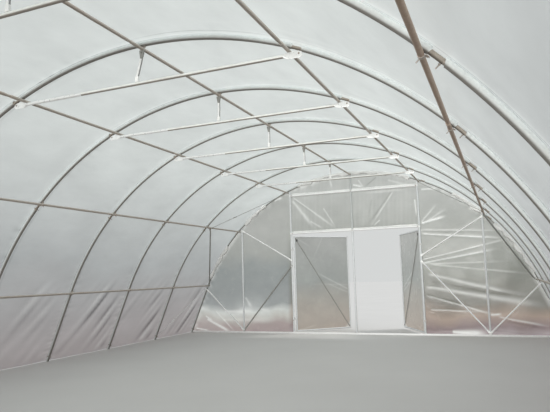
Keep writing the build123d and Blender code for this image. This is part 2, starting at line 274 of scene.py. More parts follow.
class Nodes:
    """The node tree of a material or of the world, with one call for each node."""

    def __init__(self, holder):
        holder.use_nodes = True
        self.holder = holder
        self.tree = holder.node_tree
        self.tree.nodes.clear()

    def add(self, kind, inputs=None, **settings):
        node = self.tree.nodes.new("ShaderNode" + kind)
        for key, value in settings.items():
            setattr(node, key, value)
        for key, value in (inputs or {}).items():
            socket = node.inputs[key]
            if isinstance(value, bpy.types.NodeSocket):
                self.tree.links.new(value, socket)
            else:
                socket.default_value = (*value, 1.0) if socket.type == "RGBA" else value
        return node

    def where(self, kind="Object"):
        return self.add("TexCoord").outputs[kind]

    def stretched(self, scale):
        """The object's coordinates, stretched by a scale on each axis."""
        return self.add("Mapping", {"Vector": self.where(), "Scale": scale}).outputs["Vector"]

    def noise(self, vector, scale, detail=3.0, rough=0.55):
        inputs = {"Vector": vector, "Scale": scale, "Detail": detail, "Roughness": rough}
        return self.add("TexNoise", inputs).outputs["Fac"]

    def remap(self, value, low, high, to_low, to_high):
        inputs = {"Value": value, "From Min": low, "From Max": high, "To Min": to_low, "To Max": to_high}
        return self.add("MapRange", inputs).outputs["Result"]

    def ramp(self, value, stops):
        node = self.add("ValToRGB", {"Fac": value})
        elements = node.color_ramp.elements
        while len(elements) < len(stops):
            elements.new(0.5)
        for element, (at, colour) in zip(elements, stops):
            element.position = at
            element.color = (*colour, 1.0)
        return node.outputs["Color"]

    def blend(self, fac, a, b, how="MIX"):
        return self.add("Mix", {"Factor": fac, 6: a, 7: b}, data_type="RGBA", blend_type=how).outputs[2]

    def maths(self, how, a, b=0.0, clamp=False):
        return self.add("Math", {0: a, 1: b}, operation=how, use_clamp=clamp).outputs[0]

    def vector(self, how, a, b=(0.0, 0.0, 0.0), output="Vector"):
        return self.add("VectorMath", {0: a, 1: b}, operation=how).outputs[output]

    def bump(self, height, strength, distance):
        inputs = {"Height": height, "Strength": strength, "Distance": distance}
        return self.add("Bump", inputs).outputs["Normal"]

    def shiny(self, colour, roughness, **others):
        inputs = {key.replace("_", " "): value for key, value in others.items()}
        return self.add("BsdfPrincipled", {"Base Color": colour, "Roughness": roughness, **inputs}).outputs[0]

    def background(self, colour, strength):
        return self.add("Background", {"Color": colour, "Strength": strength}).outputs[0]

    def mixed(self, share, a, b):
        return self.add("MixShader", {0: share, 1: a, 2: b}).outputs[0]

    def finish(self, shader, output="OutputMaterial"):
        self.add(output, {"Surface": shader})
        return self.holder


# Painted shade on the side towards the tunnel's middle: its colour and share, where it is full and where it
# starts, how far its direction is lifted, and a knee in between with the share there
UnderShade = namedtuple("UnderShade", "colour share full start lift knee", defaults=(0.0, None))


def painted_underside_shade(n, colour, under_shade):
    """The colour with painted shade: darker on the side towards the tunnel's middle."""
    away = n.vector("SUBTRACT", n.where(), (0.0, 0.0, CENTRE_Z))
    away = n.vector("NORMALIZE", n.vector("MULTIPLY", away, (1.0, 0.0, 1.0)))
    away = n.vector("NORMALIZE", n.vector("ADD", away, (0.0, 0.0, under_shade.lift)))
    outer = n.vector("DOT_PRODUCT", away, n.where("Normal"), "Value")
    if under_shade.knee:
        at, there = under_shade.knee
        deep = n.remap(outer, under_shade.full, at, under_shade.share, there)
        shallow = n.remap(outer, at, under_shade.start, there, 0.0)
        share = n.maths("SUBTRACT", n.maths("ADD", deep, shallow), there)
    else:
        share = n.remap(outer, under_shade.full, under_shade.start, under_shade.share, 0.0)
    return n.blend(share, colour, under_shade.colour)


def steel(name, base, dark, metallic, roughness, grain, stain=(0.40, 0.33, 0.27), stained=0.35, under_shade=None):
    """Galvanised or plated steel: crystal patches, dull streaks, stains and fine scratches, and for some
    painted shade on the side towards the tunnel's middle.
    """
    n = Nodes(bpy.data.materials.new(name))
    where = n.where()
    inputs = {"Vector": where, "Scale": 55.0 * grain, "Randomness": 1.0}
    cells = n.add("TexVoronoi", inputs, feature="F1").outputs["Color"]
    cells = n.add("SeparateColor", {"Color": cells}).outputs[0]
    patches = n.noise(where, 9.0 * grain, 5.0)
    streaks = n.noise(n.stretched((30.0, 4.0, 30.0)), 2.2, 4.0)
    tone = n.maths("ADD", n.maths("MULTIPLY", cells, 0.22), n.maths("MULTIPLY", patches, 0.78))
    colour = n.ramp(tone, ((0.28, dark), (0.72, base)))
    stains = n.ramp(n.noise(where, 3.1, 6.0, 0.7), ((0.52, (0, 0, 0)), (0.72, (stained,) * 3)))
    colour = n.blend(stains, colour, stain)
    if under_shade:
        colour = painted_underside_shade(n, colour, under_shade)
    rough = n.remap(n.maths("ADD", patches, streaks), 0.6, 1.4, roughness - 0.09, roughness + 0.13)
    scratches = n.noise(n.stretched((160.0, 24.0, 160.0)), 3.0, 3.0)
    height = n.maths("ADD", n.maths("MULTIPLY", scratches, 0.5), n.maths("MULTIPLY", cells, 0.35))
    return n.finish(n.shiny(colour, rough, Metallic=metallic, Normal=n.bump(height, 0.18, 0.001)))


def polythene(name, stops, clear, through, gloss, haze=0.08, whiten=0.25, left_stops=None):
    """Milky or clear film: lit from behind, a little glossy, tinted by height, paler where folded and at
    painted highlights, and darker at painted shade.

    clear is the share that is see-through, and through the share of the rest that light passes.
    """
    n = Nodes(bpy.data.materials.new(name))
    where = n.where()
    axes = n.add("SeparateXYZ", {"Vector": where}).outputs
    wander = n.remap(n.noise(where, 0.9, 3.0), 0.3, 0.7, -0.12, 0.12)
    level = n.maths("DIVIDE", n.maths("ADD", axes["Z"], wander), 3.5)
    colour = n.ramp(level, stops)
    if left_stops:
        colour = n.blend(n.remap(axes["X"], -1.55, -1.40, 1.0, 0.0), colour, n.ramp(level, left_stops))
    cloud = n.remap(n.noise(n.stretched((1.0, 0.55, 1.4)), 2.3, 5.0), 0.25, 0.75, 1.0 - haze, 1.0 + haze)
    folds_and_painted_light = n.add("Attribute", attribute_name="fold_and_painted_light").outputs["Fac"]
    # The fold values darken the film below 0 as painted shade and whiten it above 0 for folds and painted
    # highlights
    shade = n.maths("MULTIPLY", cloud, n.remap(folds_and_painted_light, -1.0, 0.0, 0.5, 1.0))
    grey = n.add("CombineColor", {"Red": shade, "Green": shade, "Blue": shade}).outputs[0]
    colour = n.blend(1.0, colour, grey, "MULTIPLY")
    colour = n.blend(n.remap(folds_and_painted_light, 0.0, 1.0, 0.0, whiten), colour, (0.95, 0.965, 0.95))
    rough = n.remap(n.noise(where, 5.0, 4.0), 0.3, 0.7, gloss - 0.05, gloss + 0.1)
    normal = n.bump(n.noise(n.stretched((7.0, 3.0, 9.0)), 2.0, 4.0), 0.35, 0.006)
    front = n.shiny(colour, rough, IOR=1.5, Normal=normal)
    behind = n.add("BsdfTranslucent", {"Color": colour, "Normal": normal}).outputs[0]
    flat = n.maths("SUBTRACT", 1.0, n.maths("ABSOLUTE", folds_and_painted_light), clamp=True)
    see = n.add("BsdfTransparent", {"Color": (0.86, 0.88, 0.87)}).outputs[0]
    return n.finish(n.mixed(n.maths("MULTIPLY", flat, clear), n.mixed(through, front, behind), see))


def moulded(name, colour, roughness):
    """Plastic with a faint mould texture and a little dirt."""
    n = Nodes(bpy.data.materials.new(name))
    where = n.where()
    dirt = n.noise(where, 14.0, 6.0, 0.7)
    shade = n.ramp(dirt, ((0.35, tuple(c * 0.82 for c in colour)), (0.65, colour)))
    rough = n.remap(dirt, 0.3, 0.7, roughness + 0.12, roughness - 0.05)
    return n.finish(n.shiny(shade, rough, Normal=n.bump(n.noise(where, 240.0, 2.0), 0.15, 0.0006)))


# Steels below that are given an underside colour get painted shade on their side towards the tunnel's middle
HOOP_STEEL = steel("hoop_steel", (0.78, 0.82, 0.81), (0.67, 0.71, 0.71), 0.12, 0.50, 1.6,
                   (0.55, 0.52, 0.49), 0.3,
                   UnderShade((0.19, 0.175, 0.158), 0.93, -0.68, 0.45, knee=(-0.36, 0.40)))
PURLIN_STEEL = steel("purlin_steel", (0.80, 0.76, 0.70), (0.66, 0.60, 0.54), 0.12, 0.50, 2.2,
                     (0.58, 0.42, 0.30), 0.5, UnderShade((0.39, 0.335, 0.29), 0.80, -0.80, 0.30, 0.8))
RUSTY_STEEL = steel("rusty_steel", (0.66, 0.53, 0.43), (0.48, 0.35, 0.27), 0.12, 0.55, 2.2,
                    (0.46, 0.28, 0.17), 0.7, UnderShade((0.345, 0.255, 0.20), 0.60, -0.85, 0.30, 0.8))
NECK_STEEL = steel("neck_steel", (0.44, 0.40, 0.34), (0.32, 0.28, 0.24), 0.15, 0.48, 4.0,
                   (0.28, 0.21, 0.15), 0.5, UnderShade((0.13, 0.11, 0.09), 0.92, -0.8, 0.35))
ROD_STEEL = steel("rod_steel", (0.36, 0.36, 0.34), (0.25, 0.25, 0.23), 0.3, 0.45, 6.0,
                  (0.24, 0.20, 0.16), 0.4)
TIE_STEEL = steel("tie_steel", (0.90, 0.91, 0.88), (0.80, 0.81, 0.78), 0.12, 0.42, 2.2,
                  under_shade=UnderShade((0.24, 0.21, 0.18), 0.92, -0.66, -0.10))
GABLE_STEEL = steel("gable_steel", (0.95, 0.96, 0.955), (0.87, 0.88, 0.88), 0.08, 0.36, 2.2,
                    (0.72, 0.69, 0.65), 0.2)
POST_STEEL = steel("post_steel", (0.76, 0.79, 0.79), (0.64, 0.66, 0.68), 0.10, 0.40, 2.2,
                   (0.60, 0.57, 0.55), 0.3)
CENTRE_STEEL = steel("centre_steel", (0.58, 0.61, 0.60), (0.48, 0.50, 0.50), 0.10, 0.42, 2.2,
                     (0.45, 0.42, 0.40), 0.3)
BRIGHT_ZINC = steel("bright_zinc", (0.92, 0.93, 0.92), (0.80, 0.81, 0.81), 0.25, 0.30, 4.0,
                    (0.6, 0.58, 0.55), 0.25)
BOLT_STEEL = steel("bolt_steel", (0.46, 0.42, 0.38), (0.24, 0.20, 0.17), 0.6, 0.42, 4.0,
                   (0.30, 0.16, 0.09), 0.7)
ALUMINIUM = steel("aluminium", (0.80, 0.82, 0.83), (0.68, 0.70, 0.71), 0.7, 0.30, 2.0, (0.5, 0.5, 0.5), 0.2)
WHITE_STRAP = moulded("white_strap", (0.99, 0.995, 0.98), 0.42)
BLACK_CLIP = moulded("black_clip", (0.045, 0.045, 0.045), 0.5)
# A grey for the droppers' strap side: painted shade standing in for the strap's shaded edge
STRAP_PAINTED_SHADE = moulded("strap_painted_shade", (0.30, 0.30, 0.30), 0.5)

# The films' tints from the ground up, each at its share of 3.5 m. They are partly painted light: the cover
# paler towards the roof where more light comes through, and the gables' and leaves' dark and pale bands
# standing in for the darker and brighter surroundings seen through them
COVER_TINTS = ((0.02, (0.47, 0.42, 0.425)), (0.2, (0.485, 0.46, 0.47)), (0.45, (0.55, 0.57, 0.58)),
               (0.85, (0.775, 0.815, 0.81)))
GABLE_TINTS = (
    (0.012, (0.44, 0.36, 0.38)), (0.055, (0.27, 0.185, 0.19)), (0.125, (0.42, 0.305, 0.235)),
    (0.205, (0.14, 0.13, 0.10)), (0.37, (0.205, 0.215, 0.18)), (0.56, (0.375, 0.385, 0.355)),
    (0.70, (0.45, 0.46, 0.435)), (0.88, (0.55, 0.56, 0.54)))
LEFT_GABLE_TINTS = (
    (0.012, (0.44, 0.35, 0.35)), (0.06, (0.46, 0.37, 0.36)), (0.105, (0.66, 0.65, 0.61)),
    (0.145, (0.76, 0.79, 0.77)), (0.185, (0.35, 0.375, 0.38)), (0.27, (0.305, 0.33, 0.335)),
    (0.42, (0.305, 0.33, 0.33)), (0.50, (0.40, 0.41, 0.39)), (0.66, (0.45, 0.455, 0.435)))
LEAF_TINTS = ((0.02, (0.50, 0.42, 0.36)), (0.16, (0.46, 0.42, 0.37)), (0.30, (0.37, 0.39, 0.375)),
              (0.6, (0.46, 0.465, 0.45)))
ROLLED_TINTS = ((0.0, (0.95, 0.95, 0.93)), (1.0, (0.97, 0.97, 0.955)))
COVER = polythene("cover_polythene", COVER_TINTS, 0.10, 0.60, 0.34, whiten=0.34)
GABLE_SHEET = polythene("gable_polythene", GABLE_TINTS, 0.16, 0.5, 0.2, 0.10, 0.85, LEFT_GABLE_TINTS)
LEAF_SHEET = polythene("leaf_polythene", LEAF_TINTS, 0.16, 0.5, 0.22, 0.10, 0.6)
ROLLED_SHEET = polythene("rolled_polythene", ROLLED_TINTS, 0.0, 0.25, 0.22)

# Hoops, with a swaged joint past each upper and mid purlin and a groove round each foot

# The neck's radius and length, where the joints and the groove start along the arch, and the stops' spacing
NECK = 0.62 * HOOP
NECK_LENGTH = 0.092
JOINTS = [RADIUS * math.radians(STEP * steps) + PURLIN + 0.009 for steps in (1, 2)]
GROOVE = HALF_ARC - 0.12
STATION = 0.085
INNER_BOLT_Z = 0.073
FOOT_BOLT_Z = 0.085

# Bolts through the hoop: how far along the arch they are, and how far from its centre they start
HOOP_BOLTS = ((RADIUS * math.radians(2 * STEP) + 0.006, PURLIN_AT - PURLIN + 0.004),
              (JOINTS[1] + 0.075, RADIUS - HOOP + 0.003))


def hoop_sections():
    """Stops from the ridge to the foot: the distance along the arch, the radius and the steel after it."""
    stops = [(s, HOOP, 0) for s in (0.0, GROOVE, GROOVE + 0.01, HALF_ARC)]
    stops += [(GROOVE + d, HOOP * 0.9, 0) for d in (0.002, 0.008)]
    for start in JOINTS:
        mouth = start + NECK_LENGTH
        stops += [(start - 0.012, HOOP, 0), (start, NECK * 1.04, 2), (start + 0.012, NECK, 2)]
        stops += [(mouth - 0.006, NECK, 1), (mouth, NECK * 1.02, 1)]
        stops += [(mouth + d, HOOP * share, 0) for d, share in ((0.0005, 1.04), (0.009, 1.04), (0.014, 1.0))]
    for number in range(1, int(GROOVE / STATION)):
        s = number * STATION
        if all(not start - 0.04 < s < start + NECK_LENGTH + 0.04 for start in JOINTS):
            stops.append((s, HOOP, 0))
    return sorted(stops)


HALF_HOOP = hoop_sections()
SECTIONS = [(-s, r) for s, r, _ in reversed(HALF_HOOP[1:])] + [(s, r) for s, r, _ in HALF_HOOP]
KINDS = [kind for _, _, kind in reversed(HALF_HOOP[:-1])] + [kind for _, _, kind in HALF_HOOP]


def make_hoop(number):
    y = -BAY * number
    hoop = Shape()
    radii = [r for _, r in SECTIONS]
    # The necks lie nearer the hoop's inner side
    lower = np.array([-0.5 * (HOOP - r) if r < 0.8 * HOOP else 0.0 for r in radii])
    xs, zs = skin([s for s, _ in SECTIONS], lower)
    hoop.bar([(x, y, z) for x, z in zip(xs, zs)], radii, sides=24, ground=True, kind=KINDS)
    for side in (-1, 1):
        for s, at in HOOP_BOLTS:
            a = side * math.degrees(s / RADIUS)
            spot = place(arc(a, at, y), Vector((0, 0, CENTRE_Z)) - arc(a, 1.0))
            hoop.prism(ngon(12, 0.0034), 0.032, spot, 0.0010, 1)
            hoop.prism(ngon(6, 0.0062), 0.009, spot, 0.0008, 1)
        foot_x = side * leg_x(FOOT_BOLT_Z)
        inward = (-side * math.sin(ARC_END), 0, -math.cos(ARC_END))
        hoop.bolt((foot_x - side * HOOP * 0.9, y, INNER_BOLT_Z), inward, 0.014)
        hoop.bolt((foot_x, y - HOOP * 0.97, FOOT_BOLT_Z), (0, -1, 0), 0.011)
    name = f"hoop_{number + 1}"
    hoop.piece(f"{name}_tube", [HOOP_STEEL, BOLT_STEEL, NECK_STEEL], [name])


for number in range(BAYS + 1):
    make_hoop(number)

# Purlins, with crimped joints, and the saddle clamps that hold them to the hoops

PURLIN_END = HOOP - 0.0025
PURLIN_RIM = ((0.0, 0.0125), (0.0005, 0.0155), (0.0025, PURLIN))
CRIMP = ((0.16, 1.0), (0.165, 1.04), (0.1655, 0.84), (0.205, 0.82), (0.225, 1.0))


def make_purlin(name, angle):
    sections = [(PURLIN_END - d, r) for d, r in PURLIN_RIM]
    for k in range(BAYS):
        y = -BAY * k
        if k % 2:
            sections += [(y - d, PURLIN * share) for d, share in CRIMP]
        sections += [(y - f * BAY, PURLIN) for f in (0.25, 0.5, 0.75, 1.0)]
    sections += [(-LENGTH - PURLIN_END + d, r) for d, r in reversed(PURLIN_RIM)]
    purlin = Shape()
    purlin.bar([arc(angle, PURLIN_AT, y) for y, _ in sections], [r for _, r in sections], (1, 0, 0), 20)
    surface = RUSTY_STEEL if name == "right_mid" else PURLIN_STEEL
    purlin.piece(f"{name}_purlin_tube", [surface], [f"{name}_purlin"])


def saddle(shape, angle, y, wide, kind=0, bolt=0.0095):
    """A pressed strap round the purlin's underside, with a flange and a bolt on each side."""
    along = Vector((math.cos(math.radians(angle)), 0, -math.sin(math.radians(angle))))
    inward = -arc(angle, 1.0) + Vector((0, 0, CENTRE_Z))
    face = arc(angle, RADIUS - HOOP, y)
    reach = PURLIN + 0.0018
    line = [(-0.038, 0.0024), (-0.026, 0.0024), (-0.0205, 0.0048), (-reach, 0.0105)]
    for t in range(0, 91, 18):
        a = math.radians(t)
        line.append((-reach * math.cos(a), 0.0165 + reach * math.sin(a)))
    line += [(-u, v) for u, v in reversed(line[:-1])]
    shape.bar([face + along * u + inward * v for u, v in line], (wide, 0.0016), sides=12, kind=kind)
    for u in (-0.030, 0.030):
        shape.bolt(face + along * u + inward * 0.0036, inward, bolt)


for name, angle in PURLIN_ANGLES.items():
    make_purlin(name, angle)

clamps = Shape()
for y in INNER:
    for name, angle in PURLIN_ANGLES.items():
        if "upper" not in name:
            saddle(clamps, angle, y, 0.016, 2, 0.0065)
clamps.piece("purlin_saddles", [BRIGHT_ZINC, BOLT_STEEL, PURLIN_STEEL], ["purlin_clamps"])

end_clamps = Shape()
for y in (-0.002, -LENGTH + 0.002):
    for angle in PURLIN_ANGLES.values():
        if angle:
            saddle(end_clamps, angle, y, 0.014)
end_clamps.piece("end_purlin_saddles", [BRIGHT_ZINC, BOLT_STEEL], ())

# Tie bars with pressed ends bolted to lugs under the hoops

TIE_HANG = 0.012
TIE_Z = arc(STEP, PURLIN_AT).z - PURLIN - TIE_HANG - TIE
PIN_X = 1.540
PRESSED_FROM = 1.40

# The tube from its middle outwards: place along X, half width, half height and how far its middle is raised
HALF_TIE = (
    (0.0, TIE, TIE, 0.0), (0.7, TIE, TIE, 0.0), (1.404, TIE, TIE, 0.0), (1.415, 0.0120, 0.0190, 0.0),
    (1.426, 0.0065, 0.0240, -0.0008), (1.438, 0.0036, 0.0272, -0.0018), (1.466, 0.0034, 0.0300, -0.0030),
    (1.494, 0.0034, 0.0318, -0.0002), (1.534, 0.0034, 0.0312, -0.0016), (1.551, 0.0034, 0.0270, -0.0046),
    (1.562, 0.0033, 0.0205, -0.0046), (1.568, 0.0030, 0.0120, -0.0040))
WHOLE_TIE = tuple((-x, w, h, up) for x, w, h, up in reversed(HALF_TIE[1:])) + HALF_TIE


def tie_bar(shape, y):
    plates = [2 if abs(x) > PRESSED_FROM else 0 for x, _, _, _ in WHOLE_TIE]
    path = [(x, y, TIE_Z + up) for x, _, _, up in WHOLE_TIE]
    shape.bar(path, [(w, h) for _, w, h, _ in WHOLE_TIE], sides=20, kind=plates)
    top = CENTRE_Z + math.sqrt((RADIUS - HOOP + 0.004) ** 2 - (PIN_X + 0.009) ** 2)
    lug = ((TIE_Z - 0.012, 0.007, 0.0022), (TIE_Z - 0.009, 0.010, 0.0024), (top, 0.010, 0.0024),
           (top + 0.004, 0.009, 0.0024))
    for side in (-1, 1):
        path = [(side * PIN_X, y + 0.0058, z) for z, _, _ in lug]
        shape.bar(path, [(w, h) for _, w, h in lug], (1, 0, 0), 12, 2)
        shape.bolt((side * PIN_X, y - 0.0034, TIE_Z + 0.004), (0, -1, 0), 0.0085)
        shape.bolt((side * PIN_X, y + 0.0082, TIE_Z + 0.004), (0, 1, 0), 0.0085)


ties = Shape()
for y in INNER:
    tie_bar(ties, y)
ties.piece("tie_bar_tubes", [TIE_STEEL, BOLT_STEEL, BRIGHT_ZINC], ["tie_bars"])

# Droppers that hold the tie bars up at the middle: a strap, its saddle below and its clip on the ridge

STRAP_TOP = CENTRE_Z + PURLIN_AT - PURLIN - 0.0036
SADDLE_Z = TIE_Z + TIE + 0.0005
SWUNG_STRAP = -5 * BAY
SWUNG_BY = -0.052


def dropper(strap, clip, y, low_x, bow):
    """low_x is how far the strap's foot hangs to one side, and bow how far its middle is bent."""
    drop = STRAP_TOP - SADDLE_Z - 0.05
    line = []
    for f in (0.0, 0.2, 0.4, 0.6, 0.8, 1.0):
        line.append((low_x * f + bow * math.sin(math.pi * f), y, STRAP_TOP - 0.045 - (drop - 0.045) * f))
    strap.bar([(px - 0.001, py - 0.004, pz) for px, py, pz in line], (0.0095, 0.0040), (1, 0, 0), 12)
    # A second, grey strip along the strap's side is painted shade for its shaded edge
    strap.bar([(px + 0.004, py + 0.007, pz) for px, py, pz in line], (0.0090, 0.0072), (1, 0, 0), 12, 1)
    strap.block((low_x, y, SADDLE_Z + 0.026), (0.036, 0.028, 0.052), 0.006, bevel=0.003)
    path = [(0, y, STRAP_TOP + 0.001), (0, y, STRAP_TOP - 0.02), (low_x * 0.05, y, STRAP_TOP - 0.055),
            (low_x * 0.1, y, STRAP_TOP - 0.078)]
    clip.bar(path, [(0.027, 0.010), (0.025, 0.010), (0.016, 0.0125), (0.013, 0.0125)], (1, 0, 0), 14)
    clip.bolt((0, y - 0.010, STRAP_TOP - 0.022), (0, -1, 0), 0.009, kind=0)


rng = random.Random(7)
straps = Shape()
strap_clips = Shape()
for y in INNER:
    low_x = SWUNG_BY if abs(y - SWUNG_STRAP) < 0.01 else rng.uniform(-0.004, 0.004)
    dropper(straps, strap_clips, y, low_x, rng.uniform(0.002, 0.005))
straps.piece("dropper_straps", [WHITE_STRAP, STRAP_PAINTED_SHADE], ["droppers"])
strap_clips.piece("dropper_ridge_clips", [ROD_STEEL], ())

# Gable frames: out is the direction outwards along Y, frame_y the posts' plane and inner_y just inside them

GABLE_BOLT = 0.011
WIDE_BAND = 0.044
NARROW_BAND = 0.030
Gable = namedtuple("Gable", "end y out frame_y inner_y inward")


def gable(end, y, out):
    frame_y = y + out * POST_PLANE
    return Gable(end, y, out, frame_y, frame_y - out * (POST + 0.003), (0, -out, 0))


GABLES = (gable("far", 0.0, 1), gable("near", -LENGTH, -1))
BRACES = ((OUTER_X, 2.330, DOOR_X, 1.600), (DOOR_X, 1.490, OUTER_X, 0.060),
          (OUTER_X, 0.060, leg_x(0.980, -HOOP - BRACE), 0.980))
FLATTENED = (BRACE * 1.32, BRACE * 0.2)
BRACE_END = ((-0.030, FLATTENED, 1.0), (0.018, FLATTENED, 1.0), (0.040, (BRACE * 1.18, BRACE * 0.5), 0.55),
             (0.075, BRACE, 0.0))
CHANNEL = ((0.0, -0.015), (0.0, 0.015), (0.012, 0.015), (0.012, 0.009), (0.0104, 0.009), (0.0104, 0.0134),
           (0.0016, 0.0134), (0.0016, -0.0134), (0.0104, -0.0134), (0.0104, -0.009), (0.012, -0.009),
           (0.012, -0.015))


def base_rail(g):
    rail = Shape()
    half = leg_x(2 * POST) - HOOP / math.sin(ARC_END) - GAP
    spot = place((-half, g.frame_y, 0.02), (1, 0, 0), (0, 1, 0))
    rail.prism(rounded(0.04, 0.04, 0.004), 2 * half, spot, 0.001)
    for x in (-DOOR_X, DOOR_X, -OUTER_X, OUTER_X, 0.0):
        rail.block((x, g.frame_y, 0.0415), (0.075, 0.036, 0.003), 0.004)
        for dx in (-0.029, 0.029):
            rail.bolt((x + dx, g.frame_y, 0.043), (0, 0, 1), 0.007)
    name = f"{g.end}_base_rail"
    rail.piece(f"{name}_tube", [GABLE_STEEL, BOLT_STEEL], [name])


def centre_post(g):
    """Three lengths of tube, the one in the doorway duller than those above it."""
    post = Shape()
    lengths = ((RAIL_TOP, HEAD_Z - POST - GAP), (HEAD_Z + POST + GAP, HEADER_Z - POST - GAP),
               (HEADER_Z + POST + GAP, CENTRE_Z + PURLIN_AT - PURLIN - GAP))
    for low, high in lengths:
        path = [(0, g.frame_y, z) for z in (low, low + 0.02, (low + high) / 2, high - 0.02, high)]
        post.bar(path, POST, (1, 0, 0), 24, 1 if low < HEAD_Z else 0)
    name = f"{g.end}_centre_post"
    post.piece(f"{name}_tube", [CENTRE_STEEL, POST_STEEL], [name])


def posts(g, label, x):
    pair = Shape()
    top = CENTRE_Z + math.sqrt((RADIUS - HOOP) ** 2 - x ** 2)
    for side in (-1, 1):
        path = [(side * x, g.frame_y, z) for z in (RAIL_TOP, 0.06, 0.8, 1.6, top - 0.05, top - 0.012)]
        pair.bar(path, [POST] * 5 + [(POST * 0.96, POST * 0.8)], (1, 0, 0), 24)
        for z in (top - 0.045, top - 0.085):
            pair.bolt((side * x, g.inner_y + g.out * 0.002, z), g.inward, GABLE_BOLT)
    pair.piece(f"{g.end}_{label}_tubes", [POST_STEEL, BRIGHT_ZINC], [f"{g.end}_{label}"])


def headers(g):
    tubes = Shape()
    half = HALF_HEADER
    for z in (HEAD_Z, HEADER_Z):
        xs = (-half, -half + 0.02, -half / 2, 0, half / 2, half - 0.02, half)
        tubes.bar([(x, g.frame_y, z) for x in xs], POST, sides=24)
    tubes.piece(f"{g.end}_header_tubes", [GABLE_STEEL], [f"{g.end}_headers"])


def header_joints(g):
    joints = Shape()
    for z in (HEAD_Z, HEADER_Z):
        for side in (-1, 1):
            joints.band((side * DOOR_X, g.frame_y, z), (0, 0, 1), WIDE_BAND)
            joints.band((side * (DOOR_X - 0.055), g.frame_y, z), (1, 0, 0), NARROW_BAND)
            joints.bolt((side * (DOOR_X - 0.03), g.inner_y, z), g.inward, GABLE_BOLT)
        joints.band((0, g.frame_y, z), (1, 0, 0), WIDE_BAND)
        joints.bolt((0, g.inner_y, z), g.inward, GABLE_BOLT)
    joints.piece(f"{g.end}_header_joints", [BRIGHT_ZINC, BOLT_STEEL], ())


def gable_braces(g):
    """Tubes whose pressed ends bend onto the posts' inner face, the lower one on the left duller."""
    tubes = Shape()
    onto = Vector((0, -g.out * (POST + 0.003), 0))
    for side in (-1, 1):
        for number, (x0, z0, x1, z1) in enumerate(BRACES):
            a = Vector((side * x0, g.frame_y, z0))
            b = Vector((side * x1, g.frame_y, z1))
            ahead = (b - a).normalized()
            a = a + ahead * 0.022
            b = b - ahead * (0.022 if number < 2 else 0.002)
            wide = Vector((0, 1, 0)).cross((b - a).normalized())
            tubes.strut(a, b, BRACE_END, onto, across=wide, kind=2 if (side, number) == (-1, 1) else 0)
            for p in (a, b):
                tubes.bolt(p + Vector((0, -g.out * (POST + 0.006), 0)), g.inward, 0.012)
    surfaces = [GABLE_STEEL, BRIGHT_ZINC, ROD_STEEL]
    tubes.piece(f"{g.end}_gable_brace_tubes", surfaces, [f"{g.end}_gable_braces"])


def lock_rails(g):
    """Channels outside that hold the film, each with a zigzag wire pressed in."""
    rails = Shape()
    half = HALF_HEADER
    back = g.y + g.out * (HOOP + 0.0038)
    channel = tuple((-g.out * y, z) for y, z in CHANNEL)
    turns = int(2 * half / 0.03)
    for z in (HEAD_Z, HEADER_Z):
        rails.prism(channel, 2 * half, place((-half, back, z), (1, 0, 0), (0, -1, 0)))
        wire = []
        for t in range(turns + 1):
            x = -half + 0.01 + (2 * half - 0.02) * t / turns
            wire.append((x, back + g.out * 0.0072, z + 0.0075 * (-1) ** t))
        rails.bar(wire, 0.0013, sides=6, kind=1)
    surfaces = [ALUMINIUM, BRIGHT_ZINC]
    rails.piece(f"{g.end}_lock_rail_channels", surfaces, [f"{g.end}_lock_rails"])


def gudgeons(g):
    """Hinges' fixed halves: a band round the post, an arm outwards and the pin."""
    hinges = Shape()
    root = g.y + g.out * (POST_PLANE + POST)
    tip = g.y + g.out * (HINGE_OUT + 0.006)
    for side in (-1, 1):
        x = side * HINGE_X
        for z in HINGE_HEIGHTS:
            level = z - 0.006
            hinges.block((x, (root + tip) / 2, level), (0.012, abs(tip - root), 0.012), bevel=0.0015)
            pin = place((x, g.y + g.out * HINGE_OUT, level), (0, 0, 1))
            hinges.prism(ngon(20, 0.006), 0.047, pin, 0.0012, 1)
            hinges.band((side * DOOR_X, g.frame_y, level), (0, 0, 1), NARROW_BAND)
            hinges.bolt((side * DOOR_X, g.inner_y, level), g.inward, GABLE_BOLT)
    name = f"{g.end}_hinge_gudgeons"
    hinges.piece(name, [BRIGHT_ZINC, BOLT_STEEL], [f"{g.end}_door_hinges"])


for g in GABLES:
    base_rail(g)
    centre_post(g)
    posts(g, "door_posts", DOOR_X)
    posts(g, "outer_posts", OUTER_X)
    headers(g)
    header_joints(g)
    gable_braces(g)
    lock_rails(g)
    gudgeons(g)

# End bay braces: a tube and two thin rods on each side, each rod with a sleeve for tightening it

TUBE_AT = PURLIN_AT - PURLIN - GAP - BRACE
ROD_AT = PURLIN_AT - PURLIN - GAP - 0.006
TUBE_END = ((0.0, (0.0185, 0.003), 0.010), (0.045, (0.0185, 0.003), 0.010), (0.062, (0.0165, 0.007), 0.006),
            (0.09, BRACE, 0.0))
ROD_END = ((0.0, (0.0075, 0.003), 0), (0.01, (0.0085, 0.003), 0), (0.05, (0.007, 0.004), 0),
           (0.052, 0.0045, 0))
SLEEVE = ((-0.045, 0.006), (-0.04, 0.009), (0.04, 0.009), (0.045, 0.006))
ROD_INSET = 0.085
TUBE_INSET = 0.055


